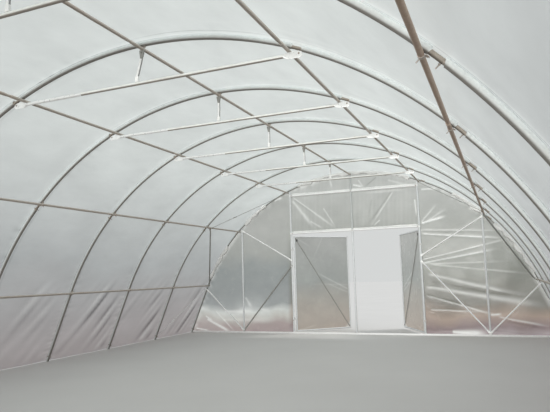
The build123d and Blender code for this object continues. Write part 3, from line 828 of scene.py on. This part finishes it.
def end_braces(g):
    braces = Shape()
    by_gable = g.y - g.out * ROD_INSET
    by_hoop = g.y - g.out * (BAY - ROD_INSET)
    for side in (-1, 1):
        a = arc(side * 2 * STEP, TUBE_AT, g.y - g.out * (BAY - TUBE_INSET))
        b = arc(side * 3 * STEP, TUBE_AT, g.y - g.out * TUBE_INSET)
        ahead = (b - a).normalized()
        half_way = math.radians(2.5 * STEP)
        radial = Vector((side * math.sin(half_way), 0, math.cos(half_way)))
        braces.strut(a, b, TUBE_END, radial, across=ahead.cross(radial))
        for p in (a + ahead * 0.018, b - ahead * 0.018):
            braces.bolt(p + radial * 0.007, -radial, 0.012)
        foot = Vector((side * leg_x(0.06), g.y - g.out * (BAY - HOOP - 0.0063), 0.06))
        rods = ((arc(side * 2 * STEP, ROD_AT, by_hoop), arc(side * STEP, ROD_AT, by_gable), 0),
                (foot, arc(side * 3 * STEP, ROD_AT, by_gable), 2))
        for p, q, kind in rods:
            braces.strut(p, q, ROD_END, middle=(0.25, 0.5, 0.75), sides=10, kind=kind)
            ahead = (q - p).normalized()
            middle = p + (q - p) * 0.3
            sleeve = [middle + ahead * d for d, _ in SLEEVE]
            braces.bar(sleeve, [r for _, r in SLEEVE], sides=12, kind=kind)
    surfaces = [ROD_STEEL, BOLT_STEEL, BRIGHT_ZINC]
    braces.piece(f"{g.end}_end_brace_tubes", surfaces, [f"{g.end}_end_braces"])


for g in GABLES:
    end_braces(g)

# Films


def film_piece(name, grids, material, nodes, body="tunnel", spot=None):
    """A film made of grids of points, each with a value for its folds and painted light: above 0 whiter (folds
    and painted highlights), below 0 darker (painted shade).
    """
    shape = Shape()
    folds_and_painted_light = []
    for grid, fold_and_painted_light in grids:
        rows, columns = grid.shape[:2]
        index = np.arange(rows * columns).reshape(rows, columns)
        faces = np.stack([index[:-1, :-1], index[:-1, 1:], index[1:, 1:], index[1:, :-1]], axis=-1)
        shape.add(grid.reshape(-1, 3).tolist(), faces.reshape(-1, 4).tolist(), spot)
        folds_and_painted_light.append(np.broadcast_to(fold_and_painted_light, (rows, columns)).reshape(-1))
    film = shape.piece(name, [material], nodes, body, sharp=180.0)
    values = np.clip(np.concatenate(folds_and_painted_light), -1, 1).astype(np.float32)
    film.data.attributes.new("fold_and_painted_light", "FLOAT", "POINT").data.foreach_set("value", values)
    return film


def waves(a, b, seed, count, low, high, spread):
    """Irregular ridges across a, drawn out along b, from sines with seeded wavelengths and directions."""
    r = random.Random(seed)
    total = 0.0
    for _ in range(count):
        wavelength = r.uniform(low, high)
        tilt = r.uniform(-spread, spread)
        phase = r.uniform(0, math.tau)
        total = total + np.sin(math.tau * (a + tilt * b) / wavelength + phase)
    return total / count ** 0.5


# The cover's grid: lines along the tunnel are closer at each hoop, and lines round it closer at the feet
AT_HOOP = [0.0, 0.007, 0.014, 0.021, 0.032, 0.048, 0.066, 0.080, 0.087, 0.094, 0.103, 0.13, 0.17]
BEFORE_HOOP = [1.33, 1.38, 1.415, 1.44, 1.46, 1.48]
FOOT_ZONE = 1.5
in_bay = np.array(AT_HOOP + list(np.linspace(0.21, 1.28, 24)) + BEFORE_HOOP)
along = np.concatenate([[COVER_END]] + [-BAY * k - in_bay for k in range(BAYS)]
                       + [[-LENGTH, -LENGTH - COVER_END]])
girth = np.concatenate([np.linspace(-HALF_ARC, -HALF_ARC + FOOT_ZONE, 76)[:-1],
                        np.linspace(-HALF_ARC + FOOT_ZONE, HALF_ARC - FOOT_ZONE, 120),
                        np.linspace(HALF_ARC - FOOT_ZONE, HALF_ARC, 76)[1:]])
Y, S = np.meshgrid(along, girth)

# Where each point is: how far past the nearest hoop, how far up from the ground, and in which bay
past_hoop = BAY * np.round(Y / BAY) - Y
from_hoop = np.abs(Y - BAY * np.round(Y / BAY))
edge = HALF_ARC - np.abs(S)
bay = np.clip(np.floor(-Y / BAY), 0, BAYS - 1).astype(int)

# The film sags a little between hoops, is drawn in slanting wrinkles at the skirt and ripples by the hoops
LEFT_WRINKLES = np.array([0.9, 1.0, 1.1, 0.35, 0.4, 0.3, 0.3, 0.35])
RIGHT_WRINKLES = np.array([0.5, 0.6, 0.9, 0.7, 0.4, 0.5, 0.6, 0.5])
span = smooth(0.03, 0.45, from_hoop)
strength = np.where(S > 0, RIGHT_WRINKLES[bay], LEFT_WRINKLES[bay])
slant = Y * 0.80 - edge * 0.60
pull = Y * 0.60 + edge * 0.80
skirt = smooth(1.55, 0.85, edge) * smooth(0.0, 0.12, edge)
wrinkles = waves(slant + 0.012 * np.sin(pull * 2.1 + Y), pull, 11, 8, 0.17, 0.44, 0.10)
wrinkles = wrinkles * (0.55 + 0.5 * waves(Y, S, 19, 3, 0.9, 2.1, 0.8))
wrinkles = np.sign(wrinkles) * np.abs(wrinkles) ** 1.4
ripple = waves(S, Y, 23, 5, 0.07, 0.22, 0.4) * bell(from_hoop, 0.16)
ripple = ripple * (0.35 + 0.65 * smooth(-0.2, 1.0, np.sin(S * 1.9 + bay * 2.0)))
out = FILM_OUT - 0.018 * span * (0.7 + 0.3 * np.cos(S * 0.5)) + 0.010 * wrinkles * strength * skirt * span
out = out + 0.0022 * ripple * smooth(0.0, 0.04, from_hoop)
out = out + 0.003 * waves(Y, S, 31, 4, 0.8, 1.7, 0.3) * span
out = np.where(from_hoop < 0.035, FILM_OUT, np.clip(out, -0.004, COVER_END - GAP))
X, Z = skin(S, out)

# Its shades, mostly painted light: whiter bands over the hoops, partly their white tape and partly painted
# highlight that varies round the arch, a painted contact shadow where it meets each hoop, thin dark lines
# beside the hoops, broad painted highlights and painted highlight streaks on the right of the roof, painted
# highlights on crinkles by the upper purlins, and wrinkles and ripples paler and darker by their height as
# painted light and shade
at_hoop = 0.65 * bell(from_hoop, 0.056, 4) + 0.4 * bell(from_hoop, 0.15)
thin_dark_lines = -1.1 * bell(past_hoop - 0.090 - 0.005 * np.sin(S * 6.0 + bay), 0.005)
thin_dark_lines = thin_dark_lines * smooth(-0.3, 0.5, np.sin(S * 0.9 + bay * 1.3)) * smooth(-0.8, 0.6, S)
thin_dark_lines = thin_dark_lines - 0.35 * bell(past_hoop + 0.088, 0.012)
wide_highlight = 0.50 * bell(past_hoop, 0.14, 4) * smooth(0.9, 1.5, S) * smooth(3.3, 2.5, S)
wide_highlight = wide_highlight * (0.75 + 0.25 * np.sin(S * 9.0 + bay))
contact_shadow = -1.35 * bell(past_hoop - 0.011, 0.0065)
streaks = bell(past_hoop - 0.27 - 0.03 * np.sin(S * 2.3 + bay), 0.05)
streaks = streaks * smooth(0.5, 1.1, S) * smooth(3.2, 2.3, S)
by_upper_purlin = bell(np.abs(S) - RADIUS * math.radians(STEP), 0.30)
crinkle_highlights = waves(S + 0.7 * Y, Y, 29, 5, 0.05, 0.12, 0.9) * bell(from_hoop - 0.06, 0.06) * by_upper_purlin
shown = 0.15 + 0.35 * smooth(-3.2, -1.4, S) + 0.50 * smooth(-0.6, 1.2, S) * smooth(4.6, 3.4, S)
fold_and_painted_light = 0.85 * shown * at_hoop + wide_highlight + contact_shadow * (0.4 + 0.6 * smooth(-2.6, -1.0, S)) + thin_dark_lines
fold_and_painted_light = fold_and_painted_light + 0.9 * wrinkles * strength * skirt * span + 0.25 * ripple
fold_and_painted_light = fold_and_painted_light + 0.30 * streaks * (0.6 + 0.4 * np.sin(S * 7.0 + bay * 1.7)) + 0.45 * np.clip(crinkle_highlights, 0, 1.4)
grid = np.stack([X, Y, np.maximum(Z, 0.0004)], axis=-1)
cover = film_piece("cover_sheet", [(grid, fold_and_painted_light)], COVER, ["cover_film"])


def crease(x, z, line):
    """One straight crease, thin at the line's first end and wider and weaker towards its second."""
    x0, z0, x1, z1, width, height = line
    length = math.hypot(x1 - x0, z1 - z0)
    dx = (x1 - x0) / length
    dz = (z1 - z0) / length
    t = ((x - x0) * dx + (z - z0) * dz) / length
    aside = -(x - x0) * dz + (z - z0) * dx
    w = np.maximum(width * (0.35 + 0.45 * np.clip(t, 0, 1)), 0.0145)
    return height * smooth(-0.03, 0.04, t) * smooth(1.08, 0.60, t) * bell(aside, w)


# The far gable's creases, each raised a little and painted paler as a highlight, darker as painted shade where
# its strength is below 0: X and Z of both ends, width and how strong
FAR_CREASES = (
    (1.45, 2.26, 1.93, 2.37, 0.036, 1.0), (1.45, 2.28, 1.77, 2.64, 0.030, 0.4),
    (1.47, 2.24, 1.96, 2.53, 0.030, 0.35), (1.46, 2.04, 2.98, 1.88, 0.030, 0.9),
    (1.42, 2.12, 3.10, 2.02, 0.020, 0.4), (1.44, 1.45, 2.81, 1.67, 0.032, 1.1),
    (1.44, 1.52, 3.05, 1.86, 0.024, 0.75), (1.44, 1.43, 2.98, 1.43, 0.024, 0.45),
    (1.60, 1.41, 3.36, 1.19, 0.024, 0.5), (1.55, 1.22, 3.32, 0.75, 0.070, 0.5),
    (1.50, 0.97, 3.68, 0.57, 0.080, 0.5), (1.60, 1.08, 3.40, 0.72, 0.040, -0.35),
    (1.49, 0.79, 2.90, 0.36, 0.028, 0.55), (1.54, 0.52, 2.46, 0.47, 0.020, 0.45),
    (1.92, 0.08, 2.55, 0.06, 0.085, 1.0), (2.65, 0.41, 2.85, 0.43, 0.024, 0.9),
    (2.80, 0.37, 3.65, 0.20, 0.030, 0.5), (2.90, 0.31, 3.65, 0.14, 0.036, -0.4),
    (2.66, 0.12, 3.64, 0.03, 0.032, -0.35), (1.48, 2.96, 1.79, 2.95, 0.022, 0.8),
    (-3.58, 0.30, -2.95, 0.0, 0.045, 1.0), (-3.89, 0.09, -3.53, 0.04, 0.024, 0.9),
    (-3.36, 0.49, -2.86, 0.01, 0.028, 0.5), (-3.63, 0.38, -3.45, 0.26, 0.04, 0.7),
    (-3.12, 0.48, -2.40, 0.47, 0.07, 0.45), (-2.58, 0.80, -2.42, 0.55, 0.06, 0.35),
    (-2.20, 0.53, -1.97, 0.50, 0.06, 0.35), (-3.18, 0.29, -1.76, 0.29, 0.080, 0.3),
    (-1.80, 2.97, -1.59, 3.04, 0.026, 0.8), (-2.02, 2.89, -1.90, 2.95, 0.026, 0.7),
    (-3.72, 0.85, -3.35, 1.45, 0.05, 0.3), (-1.33, 3.0, -0.37, 2.26, 0.032, 0.55),
    (-1.32, 2.95, -0.85, 2.59, 0.026, -0.3), (-1.36, 2.94, -0.86, 2.29, 0.060, 0.5),
    (-0.64, 2.72, -0.38, 2.29, 0.024, 0.45), (0.85, 2.95, 0.34, 2.28, 0.03, -0.4),
    (0.89, 2.95, 0.41, 2.28, 0.026, 0.4), (0.59, 2.38, 0.45, 2.26, 0.022, 0.4),
    (-0.95, 2.45, -0.66, 2.27, 0.030, 0.4), (0.44, 2.83, 0.34, 2.40, 0.030, -0.22),
    (0.05, 3.18, 0.26, 3.12, 0.026, 1.0), (0.56, 3.30, 0.30, 3.11, 0.020, -0.5),
    (-0.47, 3.38, -0.43, 3.16, 0.028, 0.5), (0.17, 3.28, 0.28, 3.10, 0.026, 0.4),
    (0.81, 3.22, 1.40, 3.0, 0.050, 0.3), (1.34, 2.76, 1.36, 2.39, 0.018, 0.8))

# Broad patches of painted light and shade on the gables' film: middle, half sizes and how much
PAINTED_LIGHT_PATCHES = (
    (-2.90, 0.47, 0.45, 0.13, 0.22), (-2.20, 2.20, 0.60, 0.45, 0.06), (-3.55, 0.25, 0.35, 0.22, 0.20),
    (-2.45, 0.60, 0.40, 0.16, 0.26), (2.10, 1.75, 0.65, 0.30, 0.10), (3.30, 0.75, 0.45, 0.16, 0.08),
    (1.85, 0.62, 0.35, 0.20, -0.06), (2.60, 2.45, 0.60, 0.30, 0.05), (0.75, 2.60, 0.50, 0.35, 0.05),
    (-0.35, 2.70, 0.30, 0.35, -0.05))

# Where the near gable's creases fan out from: X and Z, the fan's first and last angle, and the least and
# greatest length, width and strength of its creases
CREASES_IN_FAN = 4
FAN = ((0.6, 1.5), (0.03, 0.05), (0.3, 0.8))
TOP_FAN = ((0.5, 1.0), (0.02, 0.035), (0.4, 0.9))
NEAR_FANS = ((1.41, 1.52, -35, 30, FAN), (1.41, 2.12, -12, 42, FAN), (2.65, 2.30, -60, -20, FAN),
             (3.85, 0.35, 130, 175, FAN), (1.41, 0.10, 6, 50, FAN), (1.36, 2.98, 195, 235, TOP_FAN))


def random_creases(seed):
    """Fans of creases from the joints where the film is pinned, in seeded directions."""
    r = random.Random(seed)
    lines = []
    for side in (-1, 1):
        for x0, z0, low, high, (lengths, widths, strengths) in NEAR_FANS:
            for _ in range(CREASES_IN_FAN):
                a = math.radians(r.uniform(low, high))
                length = r.uniform(*lengths)
                end = (side * (x0 + length * math.cos(a)), z0 + length * math.sin(a))
                lines.append((side * x0, z0, *end, r.uniform(*widths), r.uniform(*strengths)))
    return lines


# The gable film's flat height, its rim outside the end hoop, and a distance that counts as far from everything
FAR_OFF = 9.0
RIM_OUT = HOOP + 0.0002
RIM = RADIUS + RIM_OUT
SHOULDER = CENTRE_Z + RIM * math.cos(ARC_END)


def gable_panel(panel):
    """X and Z of a panel's points: -1 for left of the door, 1 for right of it and 0 for over it."""
    if panel == 0:
        x = np.broadcast_to(np.linspace(-DOOR_X, DOOR_X, 190), (84, 190))
        top = CENTRE_Z + np.sqrt(RIM ** 2 - x ** 2)
        return x, HEAD_Z + (top - HEAD_Z) * np.linspace(0, 1, 84)[:, None]
    z = np.linspace(0.0006, CENTRE_Z + math.sqrt(RIM ** 2 - DOOR_X ** 2) - 0.001, 210)
    on_arc = np.sqrt(np.maximum(RIM ** 2 - (z - CENTRE_Z) ** 2, 0))
    far_x = np.where(z > SHOULDER, on_arc, leg_x(0, RIM_OUT) - z / math.tan(ARC_END))
    x = panel * (DOOR_X + (far_x[:, None] - DOOR_X) * np.linspace(0, 1, 168))
    return x, np.broadcast_to(z[:, None], x.shape)


def gable_grid(g, panel, creases, seed):
    """A panel's points, and its folds and painted light: creases, a slight billow and the edge gathered along
    the hoop.
    """
    x, z = gable_panel(panel)
    heights = sum(crease(x, z, line) for line in creases)
    shade = sum(much * np.exp(-(((x - px) / rx) ** 4 + ((z - pz) / rz) ** 2))
                for px, pz, rx, rz, much in PAINTED_LIGHT_PATCHES)
    to_leg = (leg_x(0, RIM_OUT) - z / math.tan(ARC_END) - np.abs(x)) * math.sin(ARC_END)
    to_arch = np.where(z < SHOULDER, to_leg, RIM - np.hypot(x, z - CENTRE_Z))
    round_it = np.arctan2(x, z - CENTRE_Z) * RADIUS
    gather = waves(round_it, to_arch, seed, 6, 0.11, 0.34, 0.9) * smooth(0.20, 0.03, to_arch)
    gather = gather * (0.5 + 0.5 * np.sin(round_it * 1.7 + seed))

    # How far each point is from what holds the film
    to_centre_post = np.where(z > HEAD_Z, np.abs(x), FAR_OFF)
    to_post = np.minimum(np.abs(np.abs(x) - OUTER_X), to_centre_post)
    to_post = np.minimum(np.abs(np.abs(x) - DOOR_X), to_post)
    to_header = np.minimum(np.abs(z - HEAD_Z), np.abs(z - HEADER_Z)) if panel == 0 else FAR_OFF
    free = smooth(0.02, 0.40, to_post) * smooth(0.03, 0.09, to_header)
    free = free * smooth(0.03, 0.10, z) * smooth(0.0, 0.05, to_arch)
    y = FILM_OUT + free * (0.006 + 0.003 * waves(x, z, seed + 3, 4, 0.7, 1.6, 0.8))
    y = y + 0.005 * smooth(0.02, 0.06, to_post) * heights + 0.004 * gather * smooth(0.0, 0.03, to_arch)
    y = np.maximum(y, FILM_OUT - 0.0015)

    # Paler and darker marks: creases as painted highlights, broad patches of painted light and shade, the
    # gathered edge's ruffles shaded as painted light, a whiter band along the arch that is partly bunched film
    # and partly painted highlight, and over the door whiter bands just above the headers
    fold_and_painted_light = 1.3 * heights + 0.3 * gather + shade
    fold_and_painted_light = fold_and_painted_light + smooth(0.15, 0.03, to_arch) * (0.50 + 0.30 * np.sin(round_it * 2.3 + seed))
    if panel == 0:
        fold_and_painted_light = fold_and_painted_light + 0.04 * waves(x, z, seed + 9, 7, 0.07, 0.30, 0.12)
        fold_and_painted_light = fold_and_painted_light + 0.9 * (bell(z - HEADER_Z - 0.033, 0.011) + bell(z - HEAD_Z - 0.033, 0.011))
    return np.stack([x, g.y + g.out * y, z], axis=-1), fold_and_painted_light


def gable_sheet(g, creases, seed):
    grids = [gable_grid(g, panel, creases, seed) for panel in (-1, 1, 0)]
    film = film_piece(f"{g.end}_gable_sheet", grids, GABLE_SHEET, [f"{g.end}_gable_film"])


gable_sheet(GABLES[0], FAR_CREASES, 41)
gable_sheet(GABLES[1], random_creases(5), 57)

# Spare film: rolled up above the headers, and its edge wrapped round the gable's hoop in places

ROLL_HALF = DOOR_X - 0.03
ROLL_STOPS = 60
WRAPPED = ((-1.25, 1.30), (2.20, 2.95), (3.20, 4.40), (-2.80, -2.10), (-4.35, -3.45))


def film_roll(shape, g, z, r):
    path = []
    sizes = []
    for k in range(ROLL_STOPS):
        x = -ROLL_HALF + 2 * ROLL_HALF * k / (ROLL_STOPS - 1)
        swell = 1.0 + 0.35 * math.sin(x * 5.1 + z) + r.uniform(-0.15, 0.15)
        y = g.y + g.out * (0.015 - 0.002 * swell)
        path.append((x, y, z + 0.034 + 0.004 * math.sin(x * 3.3 + z * 2)))
        sizes.append((0.006 * swell, 0.011 * swell) if 0 < k < ROLL_STOPS - 1 else 0.003)
    shape.bar(path, sizes, sides=14)


def film_sleeve(shape, g, first, last, r):
    count = int((last - first) / 0.035)
    stops = np.linspace(first, last, count)
    bulges = [abs(math.sin(v * 4.3 + first) * math.sin(v * 11.0)) for v in stops]
    swells = [bulge * 0.020 + r.uniform(0.0, 0.006) for bulge in bulges]
    sizes = [HOOP * 0.7 if k in (0, count - 1) else HOOP + 0.0012 + swells[k] for k in range(count)]
    xs, zs = skin(stops, np.minimum(HOOP + 0.0010 - np.array(sizes), 0.0))
    shape.bar([(x, g.y, z) for x, z in zip(xs, zs)], [(min(w, HOOP + 0.006), w) for w in sizes], sides=18)


for g, seed in zip(GABLES, (3, 4)):
    rolls = Shape()
    r = random.Random(seed)
    for z in (HEAD_Z, HEADER_Z):
        film_roll(rolls, g, z, r)
    for first, last in WRAPPED:
        film_sleeve(rolls, g, first, last, r)
    rolls.piece(f"{g.end}_film_rolls", [ROLLED_SHEET], (), sharp=80.0)

# Door leaves, each in a frame with the origin on its hinge axis and X to its free edge

LEAVES = (("far_left", -1, GABLES[0], 43.5, "left_leaf"), ("far_right", 1, GABLES[0], 63.3, "right_leaf"),
          ("near_left", -1, GABLES[1], 0.0, "tunnel"), ("near_right", 1, GABLES[1], 0.0, "tunnel"))

# The frame's sides, its corners' bend, where the film starts and how far out and round the tube it is tucked
LEFT = 0.045
RIGHT = 1.391 - LEAF_TUBE
LOW = 0.040 + LEAF_TUBE
HIGH = 2.140 - LEAF_TUBE
BEND = 0.020
SHEET_START = 0.031
TUCK = LEAF_TUBE + 0.0018
WRAP = np.array([0.35, 0.7, 1.05, 1.4])
CORNERS = ((LEFT + BEND, LOW + BEND, 180), (RIGHT - BEND, LOW + BEND, 270), (RIGHT - BEND, HIGH - BEND, 0),
           (LEFT + BEND, HIGH - BEND, 90))
DIAGONAL_END = ((0.0, (0.012, 0.002), 0), (0.045, (0.012, 0.002), 0), (0.06, (0.010, 0.005), 0),
                (0.08, 0.008, 0))

# The hinge eye's outline, by radius and height
EYE_RINGS = ((0.0063, 0.0), (0.0105, 0.0), (0.011, 0.0008), (0.011, 0.0292), (0.0105, 0.03), (0.0063, 0.03))
EYE_SIDES = 24

LEAF_CREASES = (
    (RIGHT - 0.03, 0.93, RIGHT - 0.85, 1.34, 0.030, 0.55),
    (RIGHT - 0.03, 0.85, RIGHT - 0.62, 1.10, 0.022, 0.35), (RIGHT, 1.02, RIGHT - 0.9, 1.06, 0.02, 0.2),
    (LEFT, HIGH, LEFT + 0.40, HIGH - 0.22, 0.028, 0.3), (LEFT, LOW, LEFT + 0.5, LOW + 0.10, 0.030, 0.3),
    (0.75, HIGH, 0.50, HIGH - 0.50, 0.03, 0.2))


def hinge_eye(shape, z, spot):
    """A ring that turns on the pin, with a short arm to the leaf's tube."""
    base = z + 0.0005
    arm = ((LEFT - 0.011 + 0.004) / 2 + 0.007, 0, base + 0.015)
    shape.block(arm, (LEFT - 0.013, 0.008, 0.029), spot=spot, kind=3)
    points = []
    for radius, height in EYE_RINGS:
        points += [(x, y, base + height) for x, y in ngon(EYE_SIDES, radius)]
    faces = []
    for i in range(len(EYE_RINGS)):
        row = i * EYE_SIDES
        above = (i + 1) % len(EYE_RINGS) * EYE_SIDES
        for k in range(EYE_SIDES):
            j = (k + 1) % EYE_SIDES
            faces.append([row + k, row + j, above + j, above + k])
    shape.add(points, faces, spot, 3)


def leaf_frame(name, spot, facing, body):
    leaf = Shape()
    path = [(LEFT, 0, 1.0)]
    for cx, cz, first in CORNERS:
        for turn in (0, 22.5, 45, 67.5, 90):
            a = math.radians(first + turn)
            path.append((cx + BEND * math.cos(a), 0, cz + BEND * math.sin(a)))
    path.append((LEFT, 0, 1.001))
    leaf.bar(path, LEAF_TUBE, sides=18, spot=spot)
    a = Vector((LEFT + 0.02, 0, HIGH - 0.03))
    b = Vector((RIGHT - 0.02, 0, LOW + 0.03))
    ahead = (b - a).normalized()
    leaf.strut(a, b, DIAGONAL_END, across=Vector((0, 1, 0)).cross(ahead), sides=12, kind=2, spot=spot)
    clip = (LEFT + 0.050, -facing * 0.011, HIGH - 0.080)
    leaf.block(clip, (0.036, 0.012, 0.050), 0.005, spot, 4)
    for p in (a + ahead * 0.02, b - ahead * 0.02):
        leaf.bolt(p + Vector((0, -facing * 0.002, 0)), (0, -facing, 0), 0.013, spot=spot)
    for z in HINGE_HEIGHTS:
        hinge_eye(leaf, z, spot)
    surfaces = [POST_STEEL, BOLT_STEEL, ROD_STEEL, BRIGHT_ZINC, BLACK_CLIP]
    leaf.piece(f"{name}_leaf_tubes", surfaces, [f"{name}_leaf_frame"], body)


def leaf_sheet(name, spot, facing, body, seed):
    """The leaf's film, tucked round the tube at its free edge, top and foot."""
    xs = np.concatenate([np.linspace(SHEET_START, RIGHT, 90), RIGHT + TUCK * WRAP])
    zs = np.concatenate([LOW - TUCK * WRAP[::-1], np.linspace(LOW, HIGH, 140), HIGH + TUCK * WRAP])
    x, z = np.meshgrid(xs, zs)
    bend_x = np.clip(x - RIGHT, 0, None) / TUCK
    bend_z = (np.clip(z - HIGH, 0, None) - np.clip(LOW - z, 0, None)) / TUCK
    heights = sum(crease(x, z, line) for line in LEAF_CREASES)
    free = smooth(0.015, 0.09, x - LEFT) * smooth(0.015, 0.09, RIGHT - x)
    free = free * smooth(0.015, 0.09, z - LOW) * smooth(0.015, 0.09, HIGH - z)
    face = TUCK - free * (0.004 - 0.006 * heights + 0.0015 * waves(x, z, seed, 4, 0.3, 0.8, 0.7))
    face = np.clip(face, 0.0095, TUCK + 0.0012)
    flat_x = np.where(bend_x > 0, RIGHT + TUCK * np.sin(bend_x), x)
    flat_z = np.where(bend_z != 0, np.where(bend_z > 0, HIGH, LOW) + TUCK * np.sin(bend_z), z)
    depth = face * np.cos(bend_x) * np.cos(bend_z)
    border = np.maximum(smooth(0.03, 0.0, z - LOW), smooth(0.03, 0.0, HIGH - z))
    border = np.maximum(smooth(0.03, 0.0, RIGHT - x), border)
    corner = 1.1 * bell((RIGHT - x) + (z - LOW), 0.14, 4)
    grid = np.stack([flat_x, facing * depth, flat_z], axis=-1)
    # Its creases painted paler as highlights, with a whiter border along its tucked edges and a whiter corner
    # low by its free edge
    grids = [(grid, 0.9 * heights + 0.15 * border + corner)]
    nodes = [f"{name}_leaf_film"]
    sheet = film_piece(f"{name}_leaf_sheet", grids, LEAF_SHEET, nodes, body, spot)


for number, (name, side, g, opening, body) in enumerate(LEAVES):
    turn = math.radians(opening)
    to_free_edge = (-side * math.cos(turn), g.out * math.sin(turn), 0)
    spot = place((side * HINGE_X, g.y + g.out * HINGE_OUT, 0), (0, 0, 1), to_free_edge)
    leaf_frame(name, spot, -side * g.out, body)
    leaf_sheet(name, spot, -side * g.out, body, 70 + number)

# Floor: pale where it is seen, and earth brown in the light it throws back

floor_mesh = bpy.data.meshes.new("floor")
floor_mesh.from_pydata([(-70, -76, 0), (70, -76, 0), (70, 64, 0), (-70, 64, 0)], [], [(0, 1, 2, 3)])
n = Nodes(bpy.data.materials.new("floor"))
tone = n.ramp(n.noise(n.where(), 0.6, 4.0), ((0.3, (0.60, 0.59, 0.575)), (0.7, (0.63, 0.62, 0.605))))
pale = n.shiny(tone, 0.85, Specular_IOR_Level=0.2)
earth = n.shiny((0.26, 0.22, 0.19), 0.9, Specular_IOR_Level=0.1)
rays = n.add("LightPath").outputs
shown = n.maths("MAXIMUM", rays["Is Camera Ray"], rays["Is Glossy Ray"])
shown = n.maths("MAXIMUM", shown, rays["Is Transmission Ray"])
floor_mesh.materials.append(n.finish(n.mixed(shown, earth, pale)))
put("floor", floor_mesh)

# Surroundings: an even sky for light and for what is seen through the film, and a plain backdrop

world = bpy.data.worlds.new("studio")
bpy.context.scene.world = world
surroundings = Nodes(world)
seen_by = surroundings.add("LightPath").outputs
backdrop = surroundings.background((0.66, 0.675, 0.67), 1.0)
even_sky = surroundings.background((0.93, 0.97, 1.0), 0.90)
through_film = surroundings.background((0.92, 0.94, 0.94), 1.0)
light = surroundings.mixed(seen_by["Is Transmission Ray"], even_sky, through_film)
light = surroundings.mixed(seen_by["Is Glossy Ray"], light, backdrop)
surroundings.finish(surroundings.mixed(seen_by["Is Camera Ray"], light, backdrop), "OutputWorld")


def lamp(name, kind, energy, colour, aim, upward):
    """A light that shines along aim, with this axis of its own turned upwards."""
    data = bpy.data.lights.new(name, kind)
    data.energy = energy
    data.color = colour
    obj = put(name, data)
    obj.rotation_euler = Vector(aim).to_track_quat("-Z", upward).to_euler()
    return obj


sun = lamp("sun", "SUN", 1.1, (1.0, 0.975, 0.94), (-0.55, -0.35, -1.0), "Y")
sun.data.angle = math.radians(14)

glow = lamp("near_end_glow", "AREA", 72.0, (1.0, 0.99, 0.96), (0.0, 1.0, 0.03), "Z")
glow.data.shape = "RECTANGLE"
glow.data.size = 6.4
glow.data.size_y = 2.5
glow.data.spread = math.radians(50)
glow.location = (0.0, -11.93, 1.45)
glow.visible_camera = False

# The camera, inside the tunnel by its near end

CAMERA_AT = Vector((2.974, -11.608, 1.289))
YAW = math.radians(22.262)
PITCH = math.radians(7.091)
ROLL = math.radians(-1.578)
forward = Vector((-math.sin(YAW) * math.cos(PITCH), math.cos(YAW) * math.cos(PITCH), math.sin(PITCH)))
level = Vector((math.cos(YAW), math.sin(YAW), 0))
upright = level.cross(forward)
right = level * math.cos(ROLL) + upright * math.sin(ROLL)
up = upright * math.cos(ROLL) - level * math.sin(ROLL)
turned = Matrix((right, up, -forward)).transposed().to_4x4()
turned.translation = CAMERA_AT
camera = put("camera", bpy.data.cameras.new("camera"))
camera.data.sensor_width = 36.0
camera.data.lens = 36.283
camera.data.clip_start = 0.05
camera.data.clip_end = 400.0
camera.matrix_world = turned
bpy.context.scene.camera = camera
bpy.context.scene.view_settings.view_transform = "Standard"
